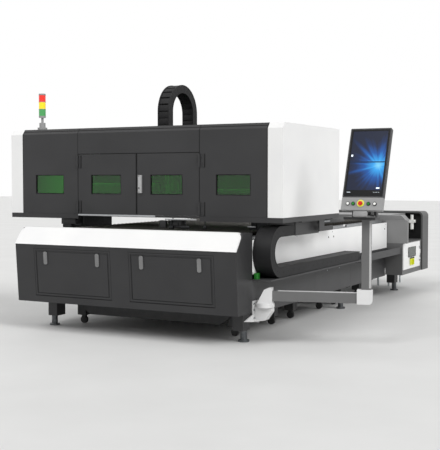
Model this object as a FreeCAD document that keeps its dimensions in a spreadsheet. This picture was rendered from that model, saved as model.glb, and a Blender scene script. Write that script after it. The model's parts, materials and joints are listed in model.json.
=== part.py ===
import FreeCAD, Part
import math
import os
import Sketcher

from FreeCAD import Rotation, Vector

# A gantry laser cutting machine. The front faces -Y, +X is to the operator's right and the floor
# is Z = 0. Sections are drawn in machine axes: X = 0 is the middle of the hood and Y = 0 is its
# front sheet. Every finished piece is then shifted so that the frame's origin lies on the floor
# below the middle of the whole machine. Lengths are millimetres, angles degrees.

sizes = {
    # travelling hood
    "hood_width": 3400,
    "hood_depth": 1545,
    "hood_lift": 217,
    "hood_height": 943,
    "bevel_run": 45,
    "bevel_drop": 57,
    "end_cap_width": 167,
    "pan_depth": 35,
    "sheet_wall": 20,
    "base_rail_height": 50,
    "base_rail_width": 60,
    "base_post_depth": 50,
    "base_post_inset": 30,
    "sill_height": 20,
    "panel_seam": 2,
    "roof_slot_margin": 20,
    # hood doors and windows
    "door_width": 766,
    "door_head_drop": 286,
    "door_gap": 3,
    "left_pane_inset": 373,
    "right_pane_inset": 396,
    "fixed_pane_inset": 379,
    "pane_width": 392,
    "pane_height": 212,
    "pane_rise": 220,
    "pane_gauge": 5,
    "pane_setback": 12,
    "knuckle_radius": 10,
    "knuckle_length": 45,
    "knuckle_gap": 0.5,
    "hinge_strap": 38,
    "hinge_gauge": 3,
    "upper_hinge_drop": 150,
    "lower_hinge_rise": 11,
    "grip_offset": 51,
    "grip_width": 38,
    "grip_height": 190,
    "grip_rise": 237,
    "grip_reach": 30,
    "grip_round": 8,
    "grip_flange": 6,
    "grip_end": 16,
    "lock_radius": 8,
    # signal tower
    "tower_inset": 330,
    "tower_back": 150,
    "tower_radius": 39,
    "lens_height": 80,
    "tower_foot_height": 28,
    "tower_ball_height": 54,
    "tower_pole_height": 58,
    "tower_collar_height": 18,
    # bed
    "bed_middle": 75,
    "hood_overhang": 282,
    "bed_front": -100,
    "panel_rear": 4165,
    "rear_length": 935,
    "beam_top": 1038,
    "beam_bottom": 640,
    "beam_width": 198,
    "skin": 20,
    "side_panel_bottom": 687,
    "side_panel_round": 60,
    "skirt_bottom": 298,
    "skirt_top": 648,
    "skirt_recess": 579,
    "skirt_first": 468,
    "skirt_length": 1174,
    "recess_lip": 32,
    "cross_beam_depth": 140,
    "cross_beam_width": 120,
    "cross_beam_count": 6,
    # legs and feet
    "leg_width": 118,
    "leg_depth": 153,
    "leg_inset": 183,
    "foot_reach": 30,
    "foot_front": 20,
    "foot_middle": 2777,
    "foot_rear_inset": 90,
    "leg_bottom": 115,
    "foot_radius": 57,
    "foot_disc_height": 20,
    "foot_stem_radius": 34,
    # slat table
    "slat_count": 24,
    "slat_margin": 145,
    "slat_first": 100,
    "slat_gauge": 5,
    "slat_height": 115,
    "slat_rise": 62,
    "tooth_count": 10,
    "tooth_depth": 26,
    "table_bar": 40,
    "table_rib_count": 5,
    "ledge_height": 30,
    # rails of the long axis
    "rail_inset": 98,
    "rail_width": 28,
    "rail_height": 28,
    "rail_front": -80,
    "rail_margin": 25,
    "rack_width": 24,
    "rack_height": 24,
    "rack_gap": 18,
    # front cabinet
    "cabinet_bottom": 317,
    "cabinet_top": 942,
    "cabinet_front_top": -458,
    "cabinet_front_bottom": -413,
    "cabinet_wall": 22,
    "cabinet_left_margin": 250,
    "cabinet_right_margin": 246,
    "cabinet_mullion": 230,
    "cabinet_sill": 71,
    "cabinet_head": 44,
    "cabinet_door_gauge": 20,
    "cabinet_door_frame": 26,
    "cabinet_door_groove": 8,
    "groove_depth": 5,
    "hinge_pin_radius": 6,
    "hinge_pin_reach": 16,
    "pin_clearance": 0.3,
    "latch_inset": 154,
    "latch_right_inset": 156,
    "latch_drop": 98,
    "latch_width": 44,
    "latch_length": 136,
    "latch_gauge": 10,
    "latch_boss": 3,
    # sloped white cap of the cabinet
    "cowl_height": 180,
    "cowl_setback": 140,
    "cowl_gauge": 12,
    "cowl_lip": 40,
    "cowl_corner": 70,
    "cowl_overhang": 8,
    "cowl_round": 30,
    # gantry
    "girder_lift": 225,
    "girder_height": 260,
    "girder_front": 800,
    "girder_depth": 220,
    "carriage_front": 330,
    "carriage_length": 820,
    "carriage_width": 120,
    "carriage_arm_inset": 60,
    "carriage_lift": 14,
    "shoe_length": 90,
    "shoe_inset": 40,
    "motor_radius": 52,
    "motor_height": 240,
    "motor_lift": 50,
    "running_gap": 0.3,
    # cross carriage and cutting head
    "head_across": 60,
    "head_margin": 343,
    "saddle_width": 300,
    "saddle_gauge": 40,
    "saddle_rise": 60,
    "saddle_drop": 20,
    "saddle_rail": 18,
    "saddle_rail_inset": 30,
    "lift_width": 130,
    "lift_gauge": 40,
    "lift_inset": 20,
    "chain_seat": 25,
    "chain_seat_neck": 80,
    "head_radius": 42,
    "head_drop": 150,
    "head_shaft": 350,
    "head_clamp": 100,
    "nozzle_rise": 90,
    "nozzle_length": 40,
    "nozzle_radius": 14,
    "nozzle_orifice": 5,
    # arch chain on the cross carriage
    "arch_width": 145,
    "arch_gauge": 90,
    "arch_front": 450,
    "arch_rear": 990,
    "arch_rise": 497,
    "arch_seat": 15,
    "arch_pitch": 88,
    # side chain
    "chain_width": 192,
    "chain_height": 107,
    "chain_offset": 6,
    "chain_floor": 652,
    "chain_rise": 516,
    "chain_bend": 158,
    "chain_fixed_end": 2490,
    "chain_moving_end": 500,
    "chain_pitch": 104,
    "bend_pitch": 65,
    "link_relief": 4,
    "link_gap": 8,
    "tray_gauge": 14,
    "tray_drop": 2,
    "tray_reach": 207,
    "chain_clamp": 22,
    "guide_margin": 5,
    "guide_bottom": 614,
    "guide_top": 703,
    "guide_gauge": 6,
    "buffer_width": 44,
    "buffer_depth": 62,
    "buffer_height": 58,
    "buffer_inset": 18,
    "buffer_corner": 9,
    "hanger_front": 507,
    "hanger_length": 640,
    "hanger_drop": 5,
    "hanger_gauge": 10,
    "fender_offset": 66,
    "fender_front": 1000,
    "fender_length": 408,
    "fender_height": 50,
    "fender_round": 16,
    # rear housing and control box
    "deck_rise": 101,
    "deck_head_depth": 230,
    "deck_chamfer": 60,
    "deck_reach": 186,
    "end_plate_rise": 34,
    "end_plate_reach": 294,
    "end_plate_gauge": 42,
    "end_plate_round": 14,
    "cover_gap": 7,
    "control_reach": 222,
    "control_bottom": 312,
    "control_top": 755,
    "control_door_gauge": 12,
    "control_door_inset": 20,
    "control_door_length": 800,
    "control_door_sill": 71,
    "control_door_head": 10,
    "control_door_lap": 14,
    "control_knuckle_radius": 7,
    "control_knuckle_length": 60,
    "control_leaf_width": 24,
    "display_inset": 208,
    "display_length": 348,
    "display_drop": 61,
    "display_height": 138,
    "display_gauge": 3,
    "switch_inset": 385,
    "switch_rise": 91,
    "switch_plate": 100,
    "switch_plate_gauge": 4,
    "switch_radius": 30,
    "switch_boss": 14,
    "switch_lever": 20,
    "switch_lever_width": 18,
    "switch_lever_half": 34,
    "housing_depth": 302,
    "housing_reach": 242,
    "housing_rise": 28,
    "housing_corner": 70,
    "housing_rim": 25,
    "niche_depth": 60,
    "niche_sill": 8,
    "regulator_offset": 80,
    "regulator_bottom": 905,
    "regulator_reach": 52,
    "bowl_radius": 26,
    "bowl_height": 92,
    "valve_half": 34,
    "valve_height": 50,
    "valve_front": 30,
    "knob_radius": 22,
    "knob_height": 70,
    "dial_gauge": 18,
    "duct_inset": 598,
    "duct_width": 256,
    "duct_length": 738,
    "duct_bottom": 330,
    "duct_top": 900,
    "duct_leg_radius": 15,
    "duct_leg_inset": 44,
    "duct_leg_setback": 80,
    # console arm
    "pivot_reach": 112,
    "pivot_back": -35,
    "arm_angle": 15,
    "arm_length": 990,
    "arm_rise": 65,
    "arm_height": 100,
    "arm_depth": 60,
    "arm_root": 74,
    "knee_margin": 8,
    "knee_lift": 30,
    "knee_lap": 6,
    "flange_radius": 92,
    "flange_height": 20,
    "lower_flange": 375,
    "pivot_stud_radius": 26,
    "pivot_stud_height": 30,
    "column_width": 92,
    "column_depth": 62,
    "column_rise": 676,
    "elbow_width": 118,
    "elbow_lap": 30,
    "elbow_margin": 10,
    "elbow_drop": 8,
    "elbow_rise": 34,
    "elbow_round": 36,
    "bracket_plate_gauge": 14,
    "bracket_front": -103,
    "bracket_length": 138,
    "bracket_drop": 168,
    "bracket_rise": 60,
    "bracket_toe": 188,
    "bracket_toe_rise": 46,
    "bracket_toe_height": 92,
    "bracket_web": 76,
    "bolt_radius": 14,
    "bolt_height": 9,
    "bolt_inset": 20,
    # console head
    "swivel_radius": 18,
    "swivel_length": 60,
    "yoke_plate_height": 24,
    "yoke_front": 72,
    "yoke_rear": 66,
    "yoke_left": 82,
    "yoke_right": 14,
    "cheek_gauge": 12,
    "cheek_half": 26,
    "tilt_rise": 65,
    "screen_tilt": 20,
    "barrel_radius": 26,
    "barrel_left": 130,
    "barrel_right": 92,
    "tilt_pin_radius": 9,
    "stem_left": 60,
    "stem_right": 50,
    "stem_half": 24,
    "stem_gauge": 34,
    "stem_rise": 80,
    "screen_width": 410,
    "screen_height": 708,
    "screen_gauge": 45,
    "screen_reach": 173,
    "screen_bezel": 12,
    "screen_round": 10,
    "screen_recess": 4,
    "screen_box_half": 127,
    "screen_box_depth": 48,
    "screen_box_rise": 60,
    "screen_box_height": 400,
    "key_panel_height": 125,
    "key_panel_drop": 29,
    "key_radius": 13,
    "key_bezel": 5,
    "key_bezel_gauge": 4,
    "key_reach": 10,
    "key_sunk": 16,
    "key_travel": 4,
    "key_line": 33,
    "white_key_left": -139,
    "green_key_left": -86,
    "green_key_right": 66,
    "white_key_right": 127,
    "stop_across": -12,
    "stop_stem_radius": 11,
    "stop_stand": 8,
    "stop_radius": 20,
    "stop_cap": 8,
    "stop_dome": 4,
    "stop_collar": 32,
    "stop_collar_gauge": 5,
    "stop_travel": 6,
    # scrap carts
    "cart_clearance": 9.5,
    "cart_front_clearance": 98,
    "cart_gap": 375,
    "rear_cart_setback": 253,
    "cart_bottom": 120,
    "cart_top": 290,
    "cart_rim_inset": 283,
    "cart_flare": 230,
    "cart_wall": 6,
    "caster_inset": 95,
    "caster_setback": 80,
    "caster_radius": 43,
    "caster_width": 32,
    "caster_headroom": 14,
    "fork_gauge": 5,
    "fork_half": 20,
    "fork_plate": 34,
    "fork_plate_gauge": 8,
    "bracket_half": 55,
}


class Size:
    """A length that keeps the sheet formula it was worked out with."""

    def __init__(self, value, text):
        self.value = float(value)
        self.text = text

    def join(self, other, sign, value):
        return Size(value, f"({self.text} {sign} {other.text})")

    def __add__(self, other):
        other = as_size(other)
        return self.join(other, "+", self.value + other.value)

    def __radd__(self, other):
        return as_size(other) + self

    def __sub__(self, other):
        other = as_size(other)
        return self.join(other, "-", self.value - other.value)

    def __rsub__(self, other):
        return as_size(other) - self

    def __mul__(self, other):
        other = as_size(other)
        return self.join(other, "*", self.value * other.value)

    def __rmul__(self, other):
        return as_size(other) * self

    def __truediv__(self, other):
        other = as_size(other)
        return self.join(other, "/", self.value / other.value)

    def __neg__(self):
        return 0 - self

    def __float__(self):
        return self.value


def as_size(number):
    if isinstance(number, Size):
        return number
    return Size(number, f"{float(number):.6f}")


def cosine(angle):
    return Size(math.cos(math.radians(float(angle))), f"cos({angle.text})")


def sine(angle):
    return Size(math.sin(math.radians(float(angle))), f"sin({angle.text})")


doc = FreeCAD.newDocument("laser_cutter")
sheet = doc.addObject("Spreadsheet::Sheet", "Sizes")
for row, (name, number) in enumerate(sizes.items(), start=1):
    sheet.set(f"A{row}", name)
    sheet.set(f"B{row}", str(number))
    sheet.setAlias(f"B{row}", name)
doc.recompute()


def s(name):
    return Size(sizes[name], f"Sizes.{name}")


# ---- drawing helpers ----


def bind(thing, path, size):
    thing.setExpression(path, as_size(size).text)


def place(thing, x, y, z):
    bind(thing, "Placement.Base.x", x)
    bind(thing, "Placement.Base.y", y)
    bind(thing, "Placement.Base.z", z)


def block(x0, x1, y0, y1, z0, z1):
    box = doc.addObject("Part::Box", "Block")
    bind(box, "Length", as_size(x1) - x0)
    bind(box, "Width", as_size(y1) - y0)
    bind(box, "Height", as_size(z1) - z0)
    place(box, x0, y0, z0)
    return box


turns = {"X": Rotation(Vector(0, 1, 0), 90), "Y": Rotation(Vector(1, 0, 0), -90), "Z": Rotation()}


def rod(x, y, z, radius, length, axis="Z"):
    cylinder = doc.addObject("Part::Cylinder", "Rod")
    bind(cylinder, "Radius", radius)
    bind(cylinder, "Height", length)
    cylinder.Placement.Rotation = turns[axis]
    place(cylinder, x, y, z)
    return cylinder


def drum(x, y, z, radius, length, axis="Z", sides=24):
    """Small round piece drawn with flat sides, which keeps its faces few."""
    barrel = doc.addObject("Part::Prism", "Drum")
    barrel.Polygon = sides
    bind(barrel, "Circumradius", radius)
    bind(barrel, "Height", length)
    barrel.Placement.Rotation = turns[axis]
    place(barrel, x, y, z)
    return barrel


def origin_plane(body, role):
    return next(plane for plane in body.Origin.OriginFeatures if plane.Role == role)


def prism(role, points, start, end):
    """Pad of a closed outline. XY points are (x, y), XZ points (x, z) and YZ points (y, z)."""
    body = doc.addObject("PartDesign::Body", "Prism")
    sketch = body.newObject("Sketcher::SketchObject", "Outline")
    sketch.AttachmentSupport = (origin_plane(body, role), [""])
    sketch.MapMode = "FlatFace"
    corners = [(as_size(u), as_size(v)) for u, v in points]
    count = len(corners)
    for index, (u, v) in enumerate(corners):
        next_u, next_v = corners[(index + 1) % count]
        start_point = Vector(float(u), float(v), 0)
        end_point = Vector(float(next_u), float(next_v), 0)
        sketch.addGeometry(Part.LineSegment(start_point, end_point), False)
    for index in range(count):
        following = (index + 1) % count
        sketch.addConstraint(Sketcher.Constraint("Coincident", index, 2, following, 1))
    for index, corner in enumerate(corners):
        for kind, size in zip(("DistanceX", "DistanceY"), corner):
            constraint = Sketcher.Constraint(kind, -1, 1, index, 1, float(size))
            number = sketch.addConstraint(constraint)
            sketch.setExpression(f"Constraints[{number}]", size.text)
    pad = body.newObject("PartDesign::Pad", "Pad")
    pad.Profile = sketch
    pad.Reversed = role == "XZ_Plane"
    bind(pad, "Length", as_size(end) - start)
    normal = {"YZ_Plane": "x", "XZ_Plane": "y", "XY_Plane": "z"}[role]
    bind(body, f"Placement.Base.{normal}", start)
    return body


def joined(*pieces):
    fusion = doc.addObject("Part::MultiFuse", "Joined")
    fusion.Shapes = list(pieces)
    return fusion


def grouped(*pieces):
    compound = doc.addObject("Part::Compound", "Group")
    compound.Links = list(pieces)
    return compound


def cut(base, *tools):
    result = doc.addObject("Part::Cut", "Cut")
    result.Base = base
    result.Tool = tools[0] if len(tools) == 1 else joined(*tools)
    return result


def rounded(base, radius, choose):
    """Round the edges of base that choose(edge) picks."""
    doc.recompute()
    fillet = doc.addObject("Part::Fillet", "Rounded")
    fillet.Base = base
    picked = [index for index, edge in enumerate(base.Shape.Edges, start=1) if choose(edge)]
    fillet.Edges = [(index, float(radius), float(radius)) for index in picked]
    return fillet


def runs_along(edge, axis):
    if not isinstance(edge.Curve, Part.Line):
        return False
    return abs(abs(edge.Curve.Direction.dot(axis)) - 1) < 1e-6


def drawn(shape):
    feature = doc.addObject("Part::Feature", "Drawn")
    feature.Shape = shape
    return feature


def tapered(x, y, z, lower_radius, upper_radius, length, sides=24):
    """Upright taper between two many-sided rings."""
    centre = Vector(float(x), float(y), float(z))
    rings = []
    for height, radius in ((0, lower_radius), (float(length), upper_radius)):
        angles = [2 * math.pi * index / sides for index in range(sides)]
        spokes = [Vector(math.cos(angle), math.sin(angle), 0) * float(radius) for angle in angles]
        rings.append([centre + Vector(0, 0, height) + spoke for spoke in spokes])
    lower, upper = rings
    outlines = [lower, upper]
    for index in range(sides):
        outlines.append([lower[index - 1], lower[index], upper[index], upper[index - 1]])
    faces = [Part.Face(Part.makePolygon(corners + corners[:1])) for corners in outlines]
    return drawn(Part.Solid(Part.Shell(faces)))


nodes = {}


def finish(name, piece, at=(0, 0, 0), axis=Vector(0, 0, 1), angle=None):
    """Name a finished piece and move it from its section's axes into the machine's frame."""
    holder = grouped(piece)
    holder.Label = name
    if angle is not None:
        holder.Placement.Rotation = Rotation(axis, float(angle))
    x, y, z = at
    place(holder, x - frame_x, y - frame_y, z)
    nodes[name] = holder


# ---- places that several pieces share ----

half_hood = s("hood_width") / 2
bed_half = half_hood - s("bed_middle") - s("hood_overhang")
bed_right = s("bed_middle") + bed_half
bed_left = s("bed_middle") - bed_half
bed_rear = s("panel_rear") + s("rear_length")
beam_outer = bed_half - s("skin")
beam_inner = beam_outer - s("beam_width")
leg_offset = bed_half - s("leg_inset")
foot_offset = leg_offset + s("foot_reach")
foot_rear = bed_rear - s("foot_rear_inset")
foot_rows = [s("foot_front"), s("foot_middle"), foot_rear]
rail_offset = bed_half - s("rail_inset")
rail_top = s("beam_top") + s("rail_height")
slat_tip = s("beam_top") + s("slat_rise")
slat_seat = slat_tip - s("slat_height")
table_bottom = slat_seat - s("table_bar") * 2
slat_half = beam_inner - s("table_bar") - s("panel_seam")
hood_bottom = s("beam_top") + s("hood_lift")
hood_top = hood_bottom + s("hood_height")
ring_low = hood_bottom - s("base_rail_height")
girder_bottom = hood_bottom + s("girder_lift")
girder_top = girder_bottom + s("girder_height")
saddle_top = girder_top + s("saddle_rise")
head_travel = bed_half - s("head_margin")
deck_top = s("beam_top") + s("deck_rise")
end_plate_top = s("beam_top") + s("end_plate_rise")
cover_front = s("panel_rear") + s("cover_gap")
pivot_x = bed_right + s("pivot_reach")
pivot_y = s("pivot_back")
column_x = pivot_x + s("arm_length") * cosine(s("arm_angle"))
column_y = pivot_y + s("arm_length") * sine(s("arm_angle"))
machine_right = column_x + s("screen_width") / 2
machine_rear = bed_rear + s("housing_depth") + s("duct_length")
machine_front = s("cabinet_front_top") - s("cowl_overhang")
frame_x = (machine_right - half_hood) / 2
frame_y = (machine_rear + machine_front) / 2


def both_sides(build):
    """build(side) for the right (1) and the left (-1) of the bed's middle."""
    return [build(side) for side in (1, -1)]


def across(side, inner, outer):
    """Low and high X of a stretch between two distances from the bed's middle."""
    ends = [s("bed_middle") + side * as_size(inner), s("bed_middle") + side * as_size(outer)]
    return sorted(ends, key=float)


def hood_across(side, inner, outer):
    """Low and high X of a stretch between two distances from the hood's middle."""
    return sorted([side * as_size(inner), side * as_size(outer)], key=float)


# ---- bed, legs and feet ----


def build_bed():
    front = s("bed_front")
    beam_low = s("beam_bottom")
    half = s("leg_width") / 2
    leg_half = s("leg_depth") / 2
    pieces = []
    for side in (1, -1):
        beam_x = across(side, beam_inner, beam_outer)
        pieces.append(block(*beam_x, front, bed_rear, beam_low, s("beam_top")))
        ledge_x = across(side, beam_inner - s("table_bar"), beam_inner)
        ledge_low = table_bottom - s("ledge_height")
        pieces.append(block(*ledge_x, front, s("panel_rear"), ledge_low, table_bottom))
        leg_x = across(side, leg_offset - half, leg_offset + half)
        for row in foot_rows:
            leg_y = (row - leg_half, row + leg_half)
            pieces.append(block(*leg_x, *leg_y, s("leg_bottom"), beam_low))
    inside = across(1, -beam_inner, beam_inner)
    last_beam = sizes["cross_beam_count"] - 1
    for index in range(int(sizes["cross_beam_count"])):
        y = front + (bed_rear - s("cross_beam_width") - front) * (index / last_beam)
        rear = y + s("cross_beam_width")
        pieces.append(block(*inside, y, rear, beam_low, beam_low + s("cross_beam_depth")))
    wall = s("table_bar")
    pieces.append(block(*inside, front, front + wall, beam_low, s("beam_top")))
    pieces.append(block(*inside, s("panel_rear") - wall, s("panel_rear"), beam_low, s("beam_top")))
    finish("bed_frame", joined(*pieces))


def build_feet():
    disc = s("foot_disc_height")
    pieces = []
    for side in (1, -1):
        x = s("bed_middle") + side * foot_offset
        for row in foot_rows:
            pad = drum(x, row, 0, s("foot_radius"), disc, sides=18)
            stem = drum(x, row, disc, s("foot_stem_radius"), s("leg_bottom") - disc, sides=12)
            pieces.append(joined(pad, stem))
    finish("levelling_feet", grouped(*pieces))


def build_side_panels():
    front = s("bed_front")
    low = s("side_panel_bottom")

    def at_lower_front(edge):
        bounds = edge.BoundBox
        return bounds.XLength > 1 and bounds.YMax < float(front) + 1 and bounds.ZMax < float(low) + 1

    def panel(side):
        x = across(side, beam_outer, bed_half)
        sheet_metal = block(*x, front, s("panel_rear"), low, s("beam_top"))
        return rounded(sheet_metal, s("side_panel_round"), at_lower_front)

    finish("side_panels", grouped(*both_sides(panel)))


def build_skirts():
    low = s("skirt_bottom")
    rear = s("panel_rear") - s("skirt_recess")
    first_seam = s("bed_front") + s("skirt_first")
    seams = [s("bed_front"), first_seam]
    seams += [first_seam + s("skirt_length") * count for count in (1, 2)]
    ends = seams[1:] + [rear]
    lip_start = rear - s("table_bar")

    def skirt(side):
        x = across(side, beam_outer, bed_half)
        panels = []
        for start, end in zip(seams, ends):
            panels.append(block(*x, start, end - s("panel_seam"), low, s("skirt_top")))
        inner = across(side, beam_outer - s("skin"), beam_outer)
        lip = block(*inner, lip_start, s("panel_rear"), low, low + s("recess_lip"))
        cheek = block(*inner, lip_start, rear, low, s("beam_bottom"))
        panels[-1] = joined(panels[-1], lip, cheek)
        return grouped(*panels)

    finish("side_skirts", grouped(*both_sides(skirt)))


# ---- slat table ----


def build_slat_frame():
    bar = s("table_bar")
    front = s("bed_front") + bar
    rear = s("panel_rear") - bar
    pieces = []
    for side in (1, -1):
        x = across(side, beam_inner - bar, beam_inner)
        pieces.append(block(*x, front, rear, table_bottom, slat_seat + bar / 2))
    last_rib = sizes["table_rib_count"] - 1
    for index in range(int(sizes["table_rib_count"])):
        middle = s("bed_middle") + slat_half * 0.8 * (2 * index / last_rib - 1)
        pieces.append(block(middle - bar / 2, middle + bar / 2, front, rear, table_bottom, slat_seat))
    x = across(1, bar - beam_inner, beam_inner - bar)
    pieces.append(block(*x, front, front + bar, table_bottom, slat_seat))
    pieces.append(block(*x, rear - bar, rear, table_bottom, slat_seat))
    finish("slat_frame", joined(*pieces))


def toothed_slat():
    """One slat: a strip on edge whose top is cut into pointed teeth."""
    half = float(slat_half)
    top = float(slat_tip)
    valley = top - sizes["tooth_depth"]
    pitch = 2 * half / sizes["tooth_count"]
    points = [(-half, float(slat_seat))]
    for index in range(sizes["tooth_count"]):
        start = -half + index * pitch
        points.append((start, valley))
        points.append((start + pitch / 2, top))
    points.append((half, valley))
    points.append((half, float(slat_seat)))
    outline = [Vector(sizes["bed_middle"] + x, 0, z) for x, z in points]
    face = Part.Face(Part.makePolygon(outline + outline[:1]))
    return face.extrude(Vector(0, sizes["slat_gauge"], 0))


def build_slats():
    slat = toothed_slat()
    first = sizes["slat_first"]
    last = sizes["panel_rear"] - sizes["slat_margin"]
    pitch = (last - first) / (sizes["slat_count"] - 1)
    rows = [first + index * pitch for index in range(sizes["slat_count"])]
    slats = [slat.translated(Vector(0, row, 0)) for row in rows]
    finish("support_slats", drawn(Part.makeCompound(slats)))


# ---- rails and racks of the long axis ----


def build_rails():
    half = s("rail_width") / 2
    waist = half * 0.72
    low = s("beam_top")
    shoulder = low + s("rail_height") * 0.45
    neck = low + s("rail_height") * 0.65
    rear = s("panel_rear") - s("rail_margin")
    profile = [
        (-half, low),
        (half, low),
        (half, shoulder),
        (waist, neck),
        (half, rail_top),
        (-half, rail_top),
        (-waist, neck),
        (-half, shoulder),
    ]
    rack = rail_offset + half + s("rack_gap")
    pieces = []
    for side in (1, -1):
        middle = s("bed_middle") + side * rail_offset
        outline = [(middle + x, z) for x, z in profile]
        pieces.append(prism("XZ_Plane", outline, s("rail_front"), rear))
        rack_x = across(side, rack, rack + s("rack_width"))
        pieces.append(block(*rack_x, s("rail_front"), rear, low, low + s("rack_height")))
    finish("rails_and_racks", grouped(*pieces))


# ---- front cabinet ----

cabinet_rise = s("cabinet_top") - s("cabinet_bottom")
cabinet_run = s("cabinet_front_bottom") - s("cabinet_front_top")
cabinet_lean = math.degrees(math.atan2(float(cabinet_run), float(cabinet_rise)))
lean_sine = math.sin(math.radians(cabinet_lean))
lean_cosine = math.cos(math.radians(cabinet_lean))
cabinet_door_low = s("cabinet_bottom") + s("cabinet_sill")
cabinet_door_height = s("cabinet_top") - s("cabinet_head") - cabinet_door_low
cabinet_doors_width = bed_half * 2 - s("cabinet_left_margin") - s("cabinet_right_margin")
cabinet_door_width = (cabinet_doors_width - s("cabinet_mullion")) / 2
cabinet_door_lefts = {
    "left": bed_left + s("cabinet_left_margin"),
    "right": bed_right - s("cabinet_right_margin") - cabinet_door_width,
}
door_foot = s("cabinet_door_gauge") / 2
cowl_lean = s("cowl_setback") / s("cowl_height")
cowl_foot = s("cabinet_front_top") - s("cowl_overhang") + s("cowl_gauge") * (cowl_lean + 1)
cowl_seat = s("cabinet_top") + s("cowl_height") - s("cowl_gauge")
cowl_seat_front = cowl_foot + (cowl_seat - s("cabinet_top")) * cowl_lean


def cabinet_front_at(height):
    """Y of the leaning front sheet at a height above the floor."""
    share = (as_size(height) - s("cabinet_bottom")) / cabinet_rise
    return s("cabinet_front_bottom") - cabinet_run * share


def build_cabinet():
    back = s("bed_front")
    wall = s("cabinet_wall")
    outline = [
        (s("cabinet_front_bottom"), s("cabinet_bottom")),
        (back, s("cabinet_bottom")),
        (back, cowl_seat),
        (cowl_seat_front, cowl_seat),
        (cowl_foot, s("cabinet_top")),
        (s("cabinet_front_top"), s("cabinet_top")),
    ]
    shell = prism("YZ_Plane", outline, bed_left, bed_right)
    front = s("cabinet_front_top") - wall
    gap = s("door_gap")
    high = cabinet_door_low + cabinet_door_height + gap
    sill = cabinet_door_low - s("running_gap")
    pin_y = cabinet_front_at(cabinet_door_low) + door_foot * (lean_cosine - lean_sine)
    pin_z = cabinet_door_low + door_foot * (lean_cosine + lean_sine)
    bore = (s("hinge_pin_radius") + s("pin_clearance")) / math.cos(math.pi / 12)
    reach = s("hinge_pin_reach") + 1
    holes = []
    for left in cabinet_door_lefts.values():
        right = left + cabinet_door_width
        holes.append(block(left - gap, right + gap, front, back - wall, sill, high))
        holes.append(drum(left - reach, pin_y, pin_z, bore, right - left + reach * 2, "X", 12))
    finish("front_cabinet", cut(shell, *holes))


def build_cowl():
    """Bent sheet over the cabinet's leaning top, with round upper corners."""
    front = s("cabinet_front_top") - s("cowl_overhang")
    setback = front + s("cowl_setback")
    high = s("cabinet_top") + s("cowl_height")
    rear = setback + s("cowl_lip")
    outline = [
        (front, s("cabinet_top")),
        (setback, high),
        (rear, high),
        (rear, cowl_seat),
        (cowl_seat_front, cowl_seat),
        (cowl_foot, s("cabinet_top")),
    ]
    sheet_metal = prism("YZ_Plane", outline, bed_left, bed_right)
    top_z = float(high)
    bend_y = float(setback)

    def on_bend(edge):
        bounds = edge.BoundBox
        return bounds.XLength > 1 and bounds.ZMin > top_z - 1 and bounds.YMax < bend_y + 1

    radius = s("cowl_corner")
    corners = []
    for end, inward in ((bed_left, 1), (bed_right, -1)):
        x = sorted((end - inward, end + radius * inward), key=float)
        waste = block(*x, front - 1, rear + 1, high - radius, high + 1)
        length = rear - front + 2
        disc = rod(end + radius * inward, front - 1, high - radius, radius, length, "Y")
        corners.append(cut(waste, disc))
    finish("cabinet_cowl", cut(rounded(sheet_metal, s("cowl_round"), on_bend), *corners))


def build_cabinet_doors():
    """Doors that turn down on pins at both ends of their round bottom edge."""
    gauge = s("cabinet_door_gauge")
    width = cabinet_door_width
    height = cabinet_door_height
    rim = s("cabinet_door_frame")
    inner = rim + s("cabinet_door_groove")
    depth = s("groove_depth")
    reach = s("hinge_pin_reach")
    hinge_y = cabinet_front_at(cabinet_door_low)
    for name, left in cabinet_door_lefts.items():
        leaf = block(0, width, 0, gauge, door_foot, height)
        foot = rod(0, door_foot, door_foot, door_foot, width, "X")
        groove = cut(
            block(rim, width - rim, -1, depth, rim, height - rim),
            block(inner, width - inner, -2, depth + 1, inner, height - inner),
        )
        pin = rod(-reach, door_foot, door_foot, s("hinge_pin_radius"), width + reach * 2, "X")
        door = joined(cut(joined(leaf, foot), groove), pin)
        at = (left, hinge_y, cabinet_door_low)
        finish(f"cabinet_door_{name}", door, at, Vector(1, 0, 0), cabinet_lean)
        insets = (s("latch_inset"), width - s("latch_right_inset"))
        for number, inset in enumerate(insets, start=1):
            build_latch(f"{name}_latch_{number}", left + inset, hinge_y, cabinet_door_low)


def build_latch(name, x, y, z):
    """A lever latch that hangs down from its boss on the door's face."""
    half = s("latch_width") / 2
    corner = half / 2
    back = -s("latch_boss") - s("running_gap")
    high = cabinet_door_height - s("latch_drop") + s("latch_length") / 2
    low = high - s("latch_length")
    boss = drum(0, back, high - half, corner, s("latch_boss"), "Y", 12)
    outline = [
        (-corner, high),
        (-half, high - corner),
        (-half, low + corner),
        (-corner, low),
        (corner, low),
        (half, low + corner),
        (half, high - corner),
        (corner, high),
    ]
    lever = prism("XZ_Plane", outline, back - s("latch_gauge"), back)
    finish(name, joined(boss, lever), (x, y, z), Vector(1, 0, 0), cabinet_lean)


# ---- travelling hood ----

cap_inner = half_hood - s("end_cap_width")
door_edge = s("door_width")
door_head = hood_top - s("door_head_drop")
pan = s("pan_depth")
fixed_pane = cap_inner - s("fixed_pane_inset")
door_panes = {"left": s("left_pane_inset") - door_edge, "right": door_edge - s("right_pane_inset")}
pane_low = hood_bottom + s("pane_rise")
pane_high = pane_low + s("pane_height")


def hood_section(front, inner):
    """Outline of the front sheet with its bevel, in Y and Z."""
    low = hood_bottom + s("panel_seam")
    shoulder = hood_top - s("bevel_drop")
    run = s("bevel_run")
    return [
        (front, low),
        (front, shoulder),
        (front + run, hood_top),
        (front + run + inner, hood_top),
        (front + run + inner, hood_top - inner),
        (front + run + inner / 2, hood_top - inner),
        (front + inner, shoulder - inner / 3),
        (front + inner, low),
    ]


def window_hole(middle):
    half = s("pane_width") / 2
    return block(middle - half, middle + half, -1, pan + 1, pane_low, pane_high)


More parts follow.
